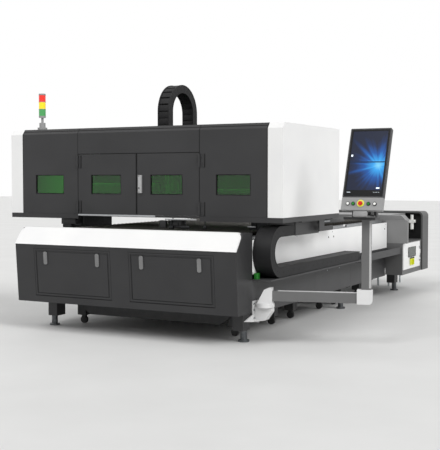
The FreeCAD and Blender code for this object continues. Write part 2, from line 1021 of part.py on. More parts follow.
def window_pane(middle):
    half = s("pane_width") / 2
    front = s("pane_setback")
    return block(middle - half, middle + half, front, front + s("pane_gauge"), pane_low, pane_high)


def hinge_leaf(side, low, inner, outer):
    """Flat strap that carries a knuckle on the face of a door or of the fixed panel."""
    x = hood_across(side, door_edge + as_size(inner), door_edge + as_size(outer))
    return block(*x, -s("hinge_gauge"), 0, low, low + s("knuckle_length"))


def hinge_axis(side):
    return side * (door_edge + s("panel_seam") / 2)


knuckle_step = s("knuckle_length") + s("knuckle_gap")
hinge_lows = (door_head - s("upper_hinge_drop"), hood_bottom + s("lower_hinge_rise"))


def build_hood_front():
    section = hood_section(as_size(0), pan)
    seam = s("panel_seam")
    radius = s("knuckle_radius")
    inner = door_edge + seam
    pieces = []
    for side in (1, -1):
        panel = prism("YZ_Plane", section, *hood_across(side, inner, cap_inner - seam))
        panel = cut(panel, window_hole(side * fixed_pane))
        straps = []
        for hinge_low in hinge_lows:
            for low in (hinge_low, hinge_low + 2 * knuckle_step):
                length = s("knuckle_length")
                straps.append(drum(hinge_axis(side), -radius, low, radius, length, sides=12))
                straps.append(hinge_leaf(side, low, seam, s("hinge_strap")))
        pieces.append(joined(panel, *straps))
    header = section[:]
    header[0] = (as_size(0), door_head)
    header[-1] = (pan, door_head)
    pieces.append(prism("YZ_Plane", header, -door_edge, door_edge))
    finish("hood_front", grouped(*pieces))
    finish("hood_windows", grouped(window_pane(fixed_pane), window_pane(-fixed_pane)))


def build_hood_doors():
    gap = s("door_gap")
    radius = s("knuckle_radius")
    for name, side in (("left", -1), ("right", 1)):
        x = hood_across(side, gap / 2, door_edge - gap)
        leaf = block(*x, 0, pan - gap, hood_bottom + gap, door_head - gap)
        leaf = cut(leaf, window_hole(door_panes[name]))
        straps = []
        for hinge_low in hinge_lows:
            low = hinge_low + knuckle_step
            straps.append(rod(hinge_axis(side), -radius, low, radius, s("knuckle_length")))
            straps.append(hinge_leaf(side, low, -s("hinge_strap") - gap, -gap / 2))
        finish(f"hood_door_{name}", joined(leaf, *straps))
        finish(f"door_window_{name}", window_pane(door_panes[name]))


def build_grip():
    """Folded pull bar on the right door with its lock barrel."""
    half = s("grip_width") / 2
    middle = s("grip_offset")
    low = hood_bottom + s("grip_rise")
    high = low + s("grip_height")
    reach = s("grip_reach")
    flange = s("grip_flange")
    end = s("grip_end")
    bar = block(middle - half, middle + half, -reach, 0, low, high)

    def on_face(edge):
        return runs_along(edge, Vector(0, 0, 1)) and edge.BoundBox.YMax < -1

    bar = rounded(bar, s("grip_round"), on_face)
    hollow_right = middle + half * 0.3
    hollow = block(middle - half - 1, hollow_right, flange - reach, -flange, low + end, high - end)
    radius = s("lock_radius")
    lock = drum(middle + half * 0.45, -reach - 3, low + s("grip_height") * 0.28, radius, 10, "Y", 16)
    finish("door_grip", joined(cut(bar, hollow), lock))


def build_roof():
    seam = s("panel_seam")
    side = cap_inner - seam
    front = s("bevel_run") + pan
    rear = s("hood_depth")
    under = hood_top - pan
    margin = s("roof_slot_margin")
    reach = head_travel + s("arch_width") / 2 + margin
    slot_x = across(1, -reach, reach)
    slot_front = s("arch_front") - margin
    slot_rear = s("arch_rear") + s("arch_gauge") + margin
    roof = block(-side, side, front, rear, under, hood_top)
    back = block(-side, side, rear - pan, rear, hood_bottom + seam, under)
    slot = block(*slot_x, slot_front, slot_rear, under - 1, hood_top + 1)
    finish("hood_roof", cut(joined(roof, back), slot))


def build_end_caps():
    low = hood_bottom + s("panel_seam")
    depth = s("hood_depth")
    wall = s("sheet_wall")
    run = s("bevel_run")
    shoulder = hood_top - s("bevel_drop")
    outline = [(0, low), (depth, low), (depth, hood_top), (run, hood_top), (0, shoulder)]
    hollow = [
        (wall, low - 1),
        (depth - wall, low - 1),
        (depth - wall, hood_top - wall),
        (run + wall / 2, hood_top - wall),
        (wall, shoulder - wall / 2),
    ]
    caps = []
    for side in (1, -1):
        cap = prism("YZ_Plane", outline, *hood_across(side, cap_inner, half_hood))
        inside = hood_across(side, cap_inner - 1, half_hood - wall)
        caps.append(cut(cap, prism("YZ_Plane", hollow, *inside)))
    finish("hood_end_caps", grouped(*caps))


def build_base_rail():
    """Tube ring that all hood sheets stand on, open under the doors but for a thin sill."""
    width = s("base_rail_width")
    depth = s("hood_depth")
    post = s("base_post_depth")
    inset = s("base_post_inset")
    pieces = []
    ring_z = (ring_low, hood_bottom)
    sill_z = (hood_bottom - s("sill_height"), hood_bottom)
    for side in (1, -1):
        pieces.append(block(*hood_across(side, door_edge, half_hood), 0, width, *ring_z))
        pieces.append(block(*hood_across(side, half_hood - width, half_hood), 0, depth, *ring_z))
    pieces.append(block(-half_hood, half_hood, depth - width, depth, *ring_z))
    pieces.append(block(-door_edge, door_edge, 0, width, *sill_z))
    pads = []
    top = hood_bottom + s("panel_seam")
    lap = s("cabinet_wall") / 5
    for side in (1, -1):
        foot_x = hood_across(side, cap_inner + lap, half_hood - lap)
        for y in (inset, depth - inset - post):
            pads.append(block(*foot_x, y, y + post, hood_bottom, top))
        panel_x = hood_across(side, door_edge + width, cap_inner - width)
        pads.append(block(*panel_x, lap, pan - lap, hood_bottom, top))
        pads.append(block(*panel_x, depth - pan + lap, depth - lap, hood_bottom, top))
    finish("hood_base_rail", joined(joined(*pieces), *pads))


def build_tower():
    x = s("tower_inset") - half_hood
    y = s("tower_back")
    radius = s("tower_radius")
    z = hood_top
    stack = []
    for share, height in (
        (1.4, "tower_foot_height"),
        (0.9, "tower_ball_height"),
        (0.36, "tower_pole_height"),
        (1, "tower_collar_height"),
    ):
        stack.append(drum(x, y, z, radius * share, s(height)))
        z = z + s(height)
    lens = s("lens_height")
    lenses = [drum(x, y, z + lens * index, radius, lens) for index in range(3)]
    cap = drum(x, y, z + lens * 3, radius, s("tower_collar_height") * 0.8)
    finish("tower_base", grouped(joined(*stack), cap))
    finish("tower_lenses", grouped(*lenses))


# ---- gantry inside the hood ----


def build_gantry():
    outer = rail_offset + s("carriage_width") / 2
    x = across(1, -outer, outer)
    y0 = s("girder_front")
    rail = s("saddle_rail")
    inset = s("saddle_rail_inset")
    girder = block(*x, y0, y0 + s("girder_depth"), girder_bottom, girder_top)
    bars = []
    for low in (girder_bottom + inset, girder_top - inset - rail):
        bars.append(block(*x, y0 - rail, y0, low, low + rail))
    finish("gantry_beam", joined(girder, *bars))


def build_end_carriages():
    gap = s("running_gap")
    bottom = rail_top + s("carriage_lift")
    start = s("carriage_front")
    end = start + s("carriage_length")
    half = s("carriage_width") / 2
    inset = s("carriage_arm_inset")
    radius = s("motor_radius")
    shelf_low = bottom + s("motor_lift") - s("shoe_inset") / 2
    shoe_low = s("beam_top") + s("guide_gauge")
    rail_half = s("rail_width") / 2 + gap
    pieces = []
    for side in (1, -1):
        middle = s("bed_middle") + side * rail_offset
        body = block(middle - half, middle + half, start, end, bottom, girder_bottom)
        arm_x = sorted([middle + side * half, side * (half_hood - s("base_rail_width"))], key=float)
        arm = block(*arm_x, start + inset, end - inset, ring_low, hood_bottom)
        motor_y = start + s("shoe_length")
        motor_x = middle - side * (half + radius)
        motor = drum(motor_x, motor_y, bottom + s("motor_lift"), radius, s("motor_height"), sides=16)
        shelf_x = sorted([middle - side * half, middle - side * (half + radius * 2)], key=float)
        shelf_z = (shelf_low, bottom + s("motor_lift"))
        shelf = block(*shelf_x, motor_y - radius, motor_y + radius, *shelf_z)
        shoes = []
        for y in (start + s("shoe_inset"), end - s("shoe_inset") - s("shoe_length")):
            rear = y + s("shoe_length")
            shoe_x = (middle - s("rail_width"), middle + s("rail_width"))
            slot_x = (middle - rail_half, middle + rail_half)
            shoe = block(*shoe_x, y, rear, shoe_low, bottom)
            shoes.append(cut(shoe, block(*slot_x, y - 1, rear + 1, shoe_low - 1, rail_top + gap)))
        pieces.append(joined(body, arm, motor, shelf, *shoes))
    finish("end_carriages", grouped(*pieces))


def build_head():
    x = s("head_across")
    half = s("saddle_width") / 2
    gap = s("running_gap")
    rear = s("girder_front") - s("saddle_rail") - gap
    front = rear - s("saddle_gauge")
    saddle_low = girder_bottom - s("saddle_drop")
    half_arch = s("arch_width") / 2
    arch_foot = saddle_top + s("arch_seat")
    plate = block(x - half, x + half, front, rear, saddle_low, saddle_top)
    shelf_rear = s("arch_rear") + s("arch_gauge")
    shelf = block(x - half_arch, x + half_arch, front, shelf_rear, saddle_top, arch_foot)
    finish("cross_carriage", joined(plate, shelf))

    lift_half = s("lift_width") / 2
    lift_rear = front - gap
    lift_front = lift_rear - s("lift_gauge")
    lift_low = saddle_low + s("lift_inset")
    lift_high = saddle_top - s("lift_inset")
    lift = block(x - lift_half, x + lift_half, lift_front, lift_rear, lift_low, lift_high)
    seat_high = arch_foot - gap
    seat_low = seat_high - s("chain_seat")
    seat = block(x - half_arch, x + half_arch, s("arch_front"), lift_front, seat_low, seat_high)
    neck_half = s("chain_seat_neck") / 2
    neck_front = s("arch_front") + s("arch_gauge")
    neck = block(x - neck_half, x + neck_half, neck_front, lift_rear, seat_low - neck_half, seat_low)
    radius = s("head_radius")
    y = lift_front - radius - s("guide_gauge")
    head_low = girder_bottom - s("head_drop")
    shaft = drum(x, y, head_low, radius, s("head_shaft"))
    clamp_low = lift_low + s("lift_inset")
    clamp = block(x - radius, x + radius, y, lift_front, clamp_low, clamp_low + s("head_clamp"))
    tip = slat_tip + s("nozzle_rise")
    waist = tip + s("nozzle_length")
    body = tapered(x, y, waist, s("nozzle_radius"), radius, head_low - waist)
    nozzle = tapered(x, y, tip, s("nozzle_orifice"), s("nozzle_radius"), s("nozzle_length"))
    finish("cutting_head", joined(lift, seat, neck, shaft, clamp, body, nozzle))


# ---- energy chains ----


def chain_corner(joint, offset):
    """Point beside a joint, at an offset square to the chain's heading there."""
    y, z, heading = joint
    turn = math.radians(heading)
    return Vector(0, y - offset * math.sin(turn), z + offset * math.cos(turn))


def link_block(start, end, inset, middle, width, height):
    """Solid between two joints whose ends lie square to the chain, set back by inset."""
    corners = []
    for offset in (-height / 2, height / 2):
        near = chain_corner(start, offset)
        far = chain_corner(end, offset)
        share = inset / (far - near).Length
        pair = [near + (far - near) * share, far + (near - far) * share]
        corners += pair if offset < 0 else pair[::-1]
    face = Part.Face(Part.makePolygon(corners + corners[:1]))
    solid = face.extrude(Vector(width, 0, 0))
    solid.translate(Vector(middle - width / 2, 0, 0))
    return solid


def link_chain(joints, middle, width, height):
    """Chain of plate links between joints, a list of (y, z, heading) on its middle line."""
    relief = sizes["link_relief"] * 2
    solids = []
    for start, end in zip(joints, joints[1:]):
        across_x = float(middle)
        core = link_block(start, end, 0, across_x, float(width) - relief, float(height) - relief)
        plate = link_block(start, end, sizes["link_gap"] / 2, across_x, float(width), float(height))
        solids += [core, plate]
    return solids[0].multiFuse(solids[1:]).removeSplitter()


def straight_joints(start, end, pitch):
    """Joints at an even spacing near pitch between two (y, z) places."""
    run = end[0] - start[0]
    rise = end[1] - start[1]
    heading = math.degrees(math.atan2(rise, run))
    count = max(2, round(math.hypot(run, rise) / pitch))
    shares = [index / count for index in range(count + 1)]
    return [(start[0] + run * share, start[1] + rise * share, heading) for share in shares]


def arc_joints(middle_y, middle_z, radius, first, last, pitch):
    """Joints on an arc from angle first to last in the YZ plane, in degrees from +Y."""
    count = max(3, round(math.radians(abs(last - first)) * radius / pitch))
    quarter = 90 if last > first else -90
    joints = []
    for index in range(count + 1):
        angle = first + (last - first) * index / count
        y = middle_y + radius * math.cos(math.radians(angle))
        z = middle_z + radius * math.sin(math.radians(angle))
        joints.append((y, z, angle + quarter))
    return joints


chain_middle = bed_right + s("chain_offset") + s("chain_width") / 2
chain_low = s("chain_floor") + s("chain_height") / 2
chain_high = s("chain_floor") + s("chain_rise") - s("chain_height") / 2
guide_front = s("chain_fixed_end") + s("chain_clamp")


def build_side_chain():
    pitch = sizes["chain_pitch"]
    low = float(chain_low)
    high = float(chain_high)
    bend = sizes["chain_bend"]
    front = bend + sizes["running_gap"]
    lower = straight_joints((front, low), (sizes["chain_fixed_end"], low), pitch)
    upper = straight_joints((front, high), (sizes["chain_moving_end"], high), pitch)
    turn = arc_joints(bend, (low + high) / 2, (high - low) / 2, 90, 270, sizes["bend_pitch"])
    runs = {"chain_lower_run": lower, "chain_upper_run": upper, "chain_bend": turn}
    for name, joints in runs.items():
        finish(name, drawn(link_chain(joints, chain_middle, s("chain_width"), s("chain_height"))))


def build_arch_chain():
    pitch = sizes["arch_pitch"]
    half = sizes["arch_gauge"] / 2
    front = sizes["arch_front"] + half
    rear = sizes["arch_rear"] + half
    foot = float(saddle_top + s("arch_seat"))
    radius = (rear - front) / 2
    crown = float(hood_top + s("arch_rise")) - half - radius
    joints = straight_joints((front, foot), (front, crown), pitch)
    joints += arc_joints(front + radius, crown, radius, 180, 0, pitch)[1:]
    joints += straight_joints((rear, crown), (rear, foot), pitch)[1:]
    shape = link_chain(joints, s("head_across"), s("arch_width"), s("arch_gauge"))
    finish("arch_chain", drawn(shape))


def build_chain_tray():
    """Shelf below the lower run, and the channel that carries the upper run further back."""
    x0 = bed_right
    x1 = bed_right + s("tray_reach")
    floor = s("chain_floor") - s("tray_drop")
    gauge = s("tray_gauge")
    front = s("chain_bend") - s("chain_rise") / 2
    shelf = block(x0, x1, front, guide_front, floor - gauge, floor)
    clamp_half = s("chain_width") / 2 - s("hanger_gauge")
    clamp_x = (chain_middle - clamp_half, chain_middle + clamp_half)
    clamp_y = (s("chain_fixed_end") + s("running_gap"), guide_front + s("guide_gauge"))
    end_clamp = block(*clamp_x, *clamp_y, floor, floor + s("chain_height"))
    low = s("guide_bottom")
    skin = s("guide_gauge")
    outline = [
        (x0, low),
        (x1, low),
        (x1, s("guide_top")),
        (x1 - skin, s("guide_top")),
        (x1 - skin, low + skin),
        (x0 + skin, low + skin),
        (x0 + skin, s("guide_top") - skin * 2),
        (x0, s("guide_top") - skin * 2),
    ]
    channel = prism("XZ_Plane", outline, guide_front, s("panel_rear") - s("guide_margin"))
    finish("chain_tray", joined(shelf, end_clamp, channel))

    left = bed_right + s("panel_seam") * 2
    right = left + s("buffer_width")
    near = front + s("buffer_inset")
    far = near + s("buffer_depth")
    corner = s("buffer_corner")
    outline = [
        (left + corner, near),
        (right - corner, near),
        (right, near + corner),
        (right, far - corner),
        (right - corner, far),
        (left + corner, far),
        (left, far - corner),
        (left, near + corner),
    ]
    finish("chain_stop", prism("XY_Plane", outline, floor, floor + s("buffer_height")))


def build_chain_hanger():
    """Plate under the hood's base rail that tows the chain's upper run."""
    gauge = s("hanger_gauge")
    outer = chain_middle + s("chain_width") / 2 + s("panel_seam")
    inner = outer - gauge
    front = s("hanger_front")
    rear = front + s("hanger_length")
    chain_under = chain_high - s("chain_height") / 2
    plate = block(inner, outer, front, rear, chain_under - s("hanger_drop"), ring_low)
    flange = block(inner, half_hood - gauge, front, rear, ring_low - gauge, ring_low)
    margin = s("guide_gauge")
    link_left = chain_middle - s("chain_width") / 2 + margin
    clamp_z = (chain_under + margin, chain_under + s("chain_height") - margin)
    clamp = block(link_left, inner, s("chain_moving_end"), front + s("base_rail_width"), *clamp_z)
    fender_x = inner + s("fender_offset")
    fender_front = s("fender_front")
    fender_rear = fender_front + s("fender_length")
    low = end_plate_top + margin
    strip_x = (fender_x, fender_x + gauge)
    strip = block(*strip_x, fender_front, fender_rear, low, low + s("fender_height"))

    def at_rear(edge):
        return runs_along(edge, Vector(1, 0, 0)) and edge.BoundBox.YMin > float(fender_rear) - 1

    strip = rounded(strip, s("fender_round"), at_rear)
    stay = block(*strip_x, fender_front, rear, low, ring_low)
    finish("chain_hanger", joined(plate, flange, clamp, strip, stay))


# ---- rear covers, housing and control box ----


def build_rear_covers():
    low = s("beam_top")
    chamfer = s("deck_chamfer")
    reach = bed_half + s("deck_reach")
    left, right = across(1, -reach, reach)
    outline = [
        (left - chamfer, low),
        (right + chamfer, low),
        (right + chamfer, deck_top - chamfer),
        (right, deck_top),
        (left, deck_top),
        (left - chamfer, deck_top - chamfer),
    ]
    plate_rear = cover_front + s("end_plate_gauge")
    head_rear = cover_front + s("deck_head_depth")
    head = prism("XZ_Plane", outline, plate_rear, head_rear)
    deck_x = across(1, -beam_outer, beam_outer)
    deck = joined(head, block(*deck_x, head_rear, bed_rear, low, deck_top))
    top_z = float(end_plate_top)
    plates = []
    for side in (1, -1):
        x = across(side, beam_outer, bed_half + s("end_plate_reach"))
        edge_x = float(x[0] if side < 0 else x[1])

        def outer_top(edge, edge_x=edge_x):
            bounds = edge.BoundBox
            upper = bounds.ZMin > top_z - 1
            return runs_along(edge, Vector(0, 1, 0)) and upper and abs(bounds.XMin - edge_x) < 1

        plate = block(*x, cover_front, plate_rear, s("control_top"), end_plate_top)
        plates.append(rounded(plate, s("end_plate_round"), outer_top))
    finish("rear_covers", grouped(deck, *plates))


control_right = bed_right + s("control_reach")
control_door_front = cover_front + s("control_door_inset")
control_door_rear = control_door_front + s("control_door_length")
control_door_low = s("control_bottom") + s("control_door_sill")
control_door_high = s("control_top") - s("control_door_head")
control_door_face = control_right + s("running_gap") + s("control_door_gauge")


def control_hinge(low, length):
    """Round knuckle on the door's hinge line."""
    return rod(control_door_face, control_door_rear, low, s("control_knuckle_radius"), length)


def build_control_box():
    wall = s("sheet_wall")
    lap = s("control_door_lap")
    x0 = bed_right - s("skin")
    outer = block(x0, control_right, cover_front, bed_rear, s("control_bottom"), s("control_top"))
    inner_y = (control_door_front + lap, control_door_rear - lap)
    inner_z = (control_door_low + lap, control_door_high - lap)
    box = cut(outer, block(x0 + wall, control_right + 1, *inner_y, *inner_z))

    length = s("control_knuckle_length")
    step = length + s("knuckle_gap")
    lows = (control_door_low + length, control_door_high - length * 3)
    fixed = []
    moving = []
    leaf_front = control_door_rear + s("control_knuckle_radius") / 2
    leaf_rear = leaf_front + s("control_leaf_width")
    for low in lows:
        moving.append(control_hinge(low, length))
        fixed.append(control_hinge(low + step, length / 2))
        leaf_z = (low + step, low + step + length / 2)
        fixed.append(block(control_right, control_door_face, leaf_front, leaf_rear, *leaf_z))
    finish("control_box", joined(box, *fixed))

    face = control_door_face
    inner_face = control_right + s("running_gap")
    door_y = (control_door_front, control_door_rear)
    plate = block(inner_face, face, *door_y, control_door_low, control_door_high)
    display_front = control_door_front + s("display_inset")
    display_high = control_door_high - s("display_drop")
    display_y = (display_front, display_front + s("display_length"))
    display_z = (display_high - s("display_height"), display_high)
    display = block(face, face + s("display_gauge"), *display_y, *display_z)
    half = s("switch_plate") / 2
    y = control_door_front + s("switch_inset")
    z = control_door_low + s("switch_rise")
    plate_face = face + s("switch_plate_gauge")
    backing = block(face, plate_face, y - half, y + half, z - half, z + half)
    notches = []
    for low in lows:
        notch_y = (control_door_rear - s("control_knuckle_radius") - 1, leaf_rear)
        notch_z = (low + step - 1, low + step + length / 2 + 1)
        notches.append(block(inner_face - 1, face + 1, *notch_y, *notch_z))
    finish("control_door", joined(cut(plate, *notches), display, backing, *moving))

    knob = plate_face + s("running_gap")
    boss = drum(knob, y, z, s("switch_radius"), s("switch_boss"), "X")
    lever_x = (knob + s("switch_boss"), knob + s("switch_boss") + s("switch_lever"))
    lever_half = s("switch_lever_width") / 2
    reach = s("switch_lever_half")
    lever = block(*lever_x, y - lever_half, y + lever_half, z - reach, z + reach)
    finish("main_switch", joined(boss, lever))


def build_rear_housing():
    rear = bed_rear + s("housing_depth")
    half = bed_half + s("housing_reach")
    low = s("control_bottom")
    top = deck_top + s("housing_rise")
    rim = s("housing_rim")
    corner = s("housing_corner")

    def round_top(piece, radius, above):
        def at_top(edge):
            return runs_along(edge, Vector(0, 1, 0)) and edge.BoundBox.ZMin > above

        return rounded(piece, radius, at_top)

    outer = block(*across(1, -half, half), bed_rear, rear, low, top)
    outer = round_top(outer, corner, float(low) + 1)
    inner_x = across(1, rim - half, half - rim)
    niche_low = s("control_top") + s("niche_sill")
    niche = block(*inner_x, bed_rear - 1, bed_rear + s("niche_depth"), niche_low, top - rim)
    niche = round_top(niche, corner - rim, float(top - rim) - 1)
    finish("rear_housing", cut(outer, niche))

    left = bed_right - s("duct_inset")
    right = left + s("duct_width")
    duct_rear = rear + s("duct_length")
    duct = block(left, right, rear, duct_rear, s("duct_bottom"), s("duct_top"))
    inset = s("duct_leg_inset")
    setback = s("duct_leg_setback")
    legs = []
    for x in (left + inset, right - inset):
        for y in (rear + setback, duct_rear - setback):
            legs.append(drum(x, y, 0, s("duct_leg_radius"), s("duct_bottom"), sides=12))
    finish("exhaust_duct", joined(duct, *legs))


def build_regulator():
    """Filter and regulator for the assist air, fixed to the back of the niche."""
    x = bed_right + s("regulator_offset")
    low = s("regulator_bottom")
    wall = bed_rear + s("niche_depth")
    y = wall - s("regulator_reach")
    half = s("valve_half")
    valve_low = low + s("bowl_height")
    valve_high = valve_low + s("valve_height")
    bowl = drum(x, y, low, s("bowl_radius"), s("bowl_height"), sides=20)
    valve = block(x - half, x + half, y - s("valve_front"), wall, valve_low, valve_high)
    knob = drum(x, y, valve_high, s("knob_radius"), s("knob_height"), sides=20)
    dial_z = (valve_low + valve_high) / 2
    dial = drum(x + half, y, dial_z, s("knob_radius"), s("dial_gauge"), "X", 20)
    finish("air_regulator", joined(bowl, valve, knob, dial))


# ---- console ----

flange_rest = s("lower_flange") + s("flange_height")
arm_low = s("lower_flange") + s("arm_rise")
arm_high = arm_low + s("arm_height")
column_low = arm_high + s("elbow_rise")
column_top = column_low + s("column_rise")
tilt_height = column_top + s("tilt_rise")


def build_arm_bracket():
    """Cast wall bracket with the lower half of the arm's pivot."""
    face = bed_right + s("bracket_plate_gauge")
    front = s("bracket_front")
    rear = front + s("bracket_length")
    low = s("lower_flange") - s("bracket_drop")
    top = s("lower_flange") + s("bracket_rise")
    outline = [
        (front, top),
        (rear, top),
        (rear, low),
        (front - s("bracket_toe"), low + s("bracket_toe_rise")),
        (front, low + s("bracket_toe_height")),
    ]
    plate = prism("YZ_Plane", outline, bed_right, face)
    radius = s("flange_radius")
    flange = drum(pivot_x, pivot_y, s("lower_flange"), radius, s("flange_height"), sides=36)
    inset = s("bolt_inset")
    nose = pivot_x + radius - inset / 2
    knee = [
        (face, low + inset),
        (pivot_x + inset, low + inset * 2),
        (nose, s("lower_flange") - inset * 2),
        (nose, s("lower_flange")),
        (face, s("lower_flange")),
    ]
    half = s("bracket_web") / 2
    web = prism("XZ_Plane", knee, pivot_y - half, pivot_y + half)

    def on_nose(edge):
        return runs_along(edge, Vector(0, 1, 0)) and edge.BoundBox.XMin > float(pivot_x)

    web = rounded(web, inset, on_nose)
    stud = rod(pivot_x, pivot_y, flange_rest, s("pivot_stud_radius"), s("pivot_stud_height"))
    bolts = []
    for y in (front + inset, rear - inset):
        for z in (low + inset * 2, top - inset * 2):
            bolts.append(drum(face, y, z, s("bolt_radius"), s("bolt_height"), "X", 6))
    finish("arm_bracket", joined(plate, flange, web, stud, *bolts))


def build_arm():
    """Upper knuckle, beam, elbow and column, drawn along +X and then swung to their place."""
    low = flange_rest + s("running_gap")
    length = s("arm_length")
    half = s("arm_depth") / 2
    radius = s("flange_radius")
    root = s("arm_root")
    margin = s("knee_margin")
    flange_high = low + s("flange_height")
    flange = rod(0, 0, low, radius, s("flange_height"))
    knee_top = arm_high + s("knee_lift")
    knee = [
        (margin * 2 - radius, flange_high),
        (-margin, arm_high + margin),
        (root / 2, knee_top),
        (root, knee_top),
        (root, arm_low - s("knee_lap")),
        (radius - margin, flange_high),
    ]
    web = prism("XZ_Plane", knee, -half - margin, half + margin)
    bore_radius = s("pivot_stud_radius") + s("pin_clearance")
    bore = rod(0, 0, low - 1, bore_radius, s("pivot_stud_height") + s("elbow_margin"))
    knuckle = cut(joined(flange, web), bore)

    elbow_half = s("elbow_width") / 2
    elbow_front = length - elbow_half - s("elbow_lap")
    elbow_depth = half + s("elbow_margin")
    elbow_low = arm_low - s("elbow_drop")
    elbow_x = (elbow_front, length + elbow_half)
    elbow = block(*elbow_x, -elbow_depth, elbow_depth, elbow_low, column_low)
    elbow_end = float(length + elbow_half)
    below = float(arm_low)

    def outer_lower(edge):
        bounds = edge.BoundBox
        return runs_along(edge, Vector(0, 1, 0)) and bounds.XMin > elbow_end - 1 and bounds.ZMin < below

    elbow = rounded(elbow, s("elbow_round"), outer_lower)
    at = (pivot_x, pivot_y, 0)
    up = Vector(0, 0, 1)
    finish("arm_castings", grouped(knuckle, elbow), at, up, s("arm_angle"))

    beam = block(root, elbow_front, -half, half, arm_low, arm_high)
    column_half = s("column_width") / 2
    depth_half = s("column_depth") / 2
    column_x = (length - column_half, length + column_half)
    column = block(*column_x, -depth_half, depth_half, column_low, column_top)
    socket_radius = s("swivel_radius") + s("pin_clearance")
    socket = rod(length, 0, column_top - s("swivel_length") - 1, socket_radius, s("swivel_length") + 2)
    finish("arm_tubes", grouped(beam, cut(column, socket)), at, up, s("arm_angle"))


def build_yoke():
    """Tray that turns on the column, with two cheeks and the pin that the screen tilts on."""
    gap = s("running_gap")
    low = column_top + gap
    top = low + s("yoke_plate_height")
    left = s("barrel_left")
    right = s("barrel_right")
    gauge = s("cheek_gauge")
    half = s("cheek_half")
    tray_x = (-left - s("yoke_left"), right + s("yoke_right"))
    tray = block(*tray_x, -s("yoke_front"), s("yoke_rear"), low, top)
    spigot = rod(0, 0, column_top - s("swivel_length"), s("swivel_radius"), s("swivel_length") + gap)
    cheek_top = tilt_height + s("barrel_radius")
    cheeks = [block(x, x + gauge, -half, half, top, cheek_top) for x in (-left - gauge, right)]
    pin_length = left + right + gauge * 2
    pin = rod(-left - gauge, 0, tilt_height, s("tilt_pin_radius"), pin_length, "X")
    finish("head_yoke", joined(tray, spigot, *cheeks, pin), (column_x, column_y, 0))


screen_half = s("screen_width") / 2
screen_front = -s("screen_reach")
screen_back = screen_front + s("screen_gauge")
screen_low = s("key_panel_height") - s("key_panel_drop")


def tilted(name, piece):
    """Finish a piece drawn about the tilt pin, leaning back as the screen does."""
    at = (column_x, column_y, tilt_height)
    finish(name, piece, at, Vector(1, 0, 0), -s("screen_tilt"))


def build_screen():
    gap = s("running_gap")
    bezel = s("screen_bezel")
    recess_depth = s("screen_recess")
    low = screen_low
    high = low + s("screen_height")
    shell = block(-screen_half, screen_half, screen_front, screen_back, low, high)
    shell = rounded(shell, s("screen_round"), lambda edge: runs_along(edge, Vector(0, 1, 0)))
    recess_x = (bezel - screen_half, screen_half - bezel)
    recess_y = (screen_front - 1, screen_front + recess_depth)
    recess = block(*recess_x, *recess_y, low + bezel, high - bezel)
    box_half = s("screen_box_half")
    box_low = low + s("screen_box_rise")
    box_y = (screen_back, screen_back + s("screen_box_depth"))
    rear_box = block(-box_half, box_half, *box_y, box_low, box_low + s("screen_box_height"))
    radius = s("barrel_radius")
    stem_x = (-s("stem_left"), s("stem_right"))
    half = s("stem_half")
    stem = block(*stem_x, screen_back, half - radius, -half, half)
    stem_up = block(*stem_x, screen_back, screen_back + s("stem_gauge"), -half, low + s("stem_rise"))
    left = -s("barrel_left")
    span = s("barrel_left") + s("barrel_right")
    barrel = rod(left + gap, 0, 0, radius, span - gap * 2, "X")
    bore = rod(left, 0, 0, s("tilt_pin_radius") + s("pin_clearance"), span, "X")
    bracket = cut(joined(barrel, stem, stem_up), bore)
    tilted("monitor_housing", joined(cut(shell, recess), rear_box, bracket))
    inset = bezel + s("knuckle_gap")
    glass_x = (inset - screen_half, screen_half - inset)
    glass_y = (screen_front + s("knuckle_gap"), screen_front + recess_depth)
    tilted("monitor_glass", block(*glass_x, *glass_y, low + inset, high - inset))


def build_keys():
    gap = s("running_gap")
    z = s("key_line")
    radius = s("key_radius")
    sunk = s("key_sunk")
    bezel = s("key_bezel_gauge")
    collar = s("stop_collar_gauge")
    stem_radius = s("stop_stem_radius")
    stop_x = s("stop_across")
    keys = {
        "key_white_left": s("white_key_left"),
        "key_green_left": s("green_key_left"),
        "key_green_right": s("green_key_right"),
        "key_white_right": s("white_key_right"),
    }
    panel_y = (screen_front, screen_back)
    panel = block(-screen_half, screen_half, *panel_y, -s("key_panel_drop"), screen_low)
    raised = [drum(stop_x, screen_front - collar, z, s("stop_collar"), collar, "Y", 30)]
    reach = s("stop_travel") + s("stop_stand")
    stem_hole = sunk + collar + reach
    holes = [drum(stop_x, screen_front - collar - 1, z, stem_radius + gap, stem_hole, "Y", 16)]
    for x in keys.values():
        raised.append(drum(x, screen_front - bezel, z, radius + s("key_bezel"), bezel, "Y", 18))
        holes.append(drum(x, screen_front - bezel - 1, z, radius + gap, sunk + bezel + 1, "Y", 18))
    tilted("key_panel", cut(joined(panel, *raised), *holes))
    key_length = s("key_reach") + sunk - s("key_travel") - s("panel_seam")
    for name, x in keys.items():
        tilted(name, drum(x, screen_front - s("key_reach"), z, radius, key_length, "Y", 18))

    cap_front = screen_front - reach - s("stop_cap")
    dome = s("stop_dome")
    stem = drum(stop_x, screen_front - reach, z, stem_radius, sunk + reach - s("panel_seam"), "Y", 16)
    mushroom = drum(stop_x, cap_front, z, s("stop_radius"), s("stop_cap"), "Y", 32)
    crown = drum(stop_x, cap_front - dome, z, s("stop_radius") * 0.8, dome, "Y", 32)
    tilted("emergency_stop", joined(stem, mushroom, crown))


# ---- scrap carts ----

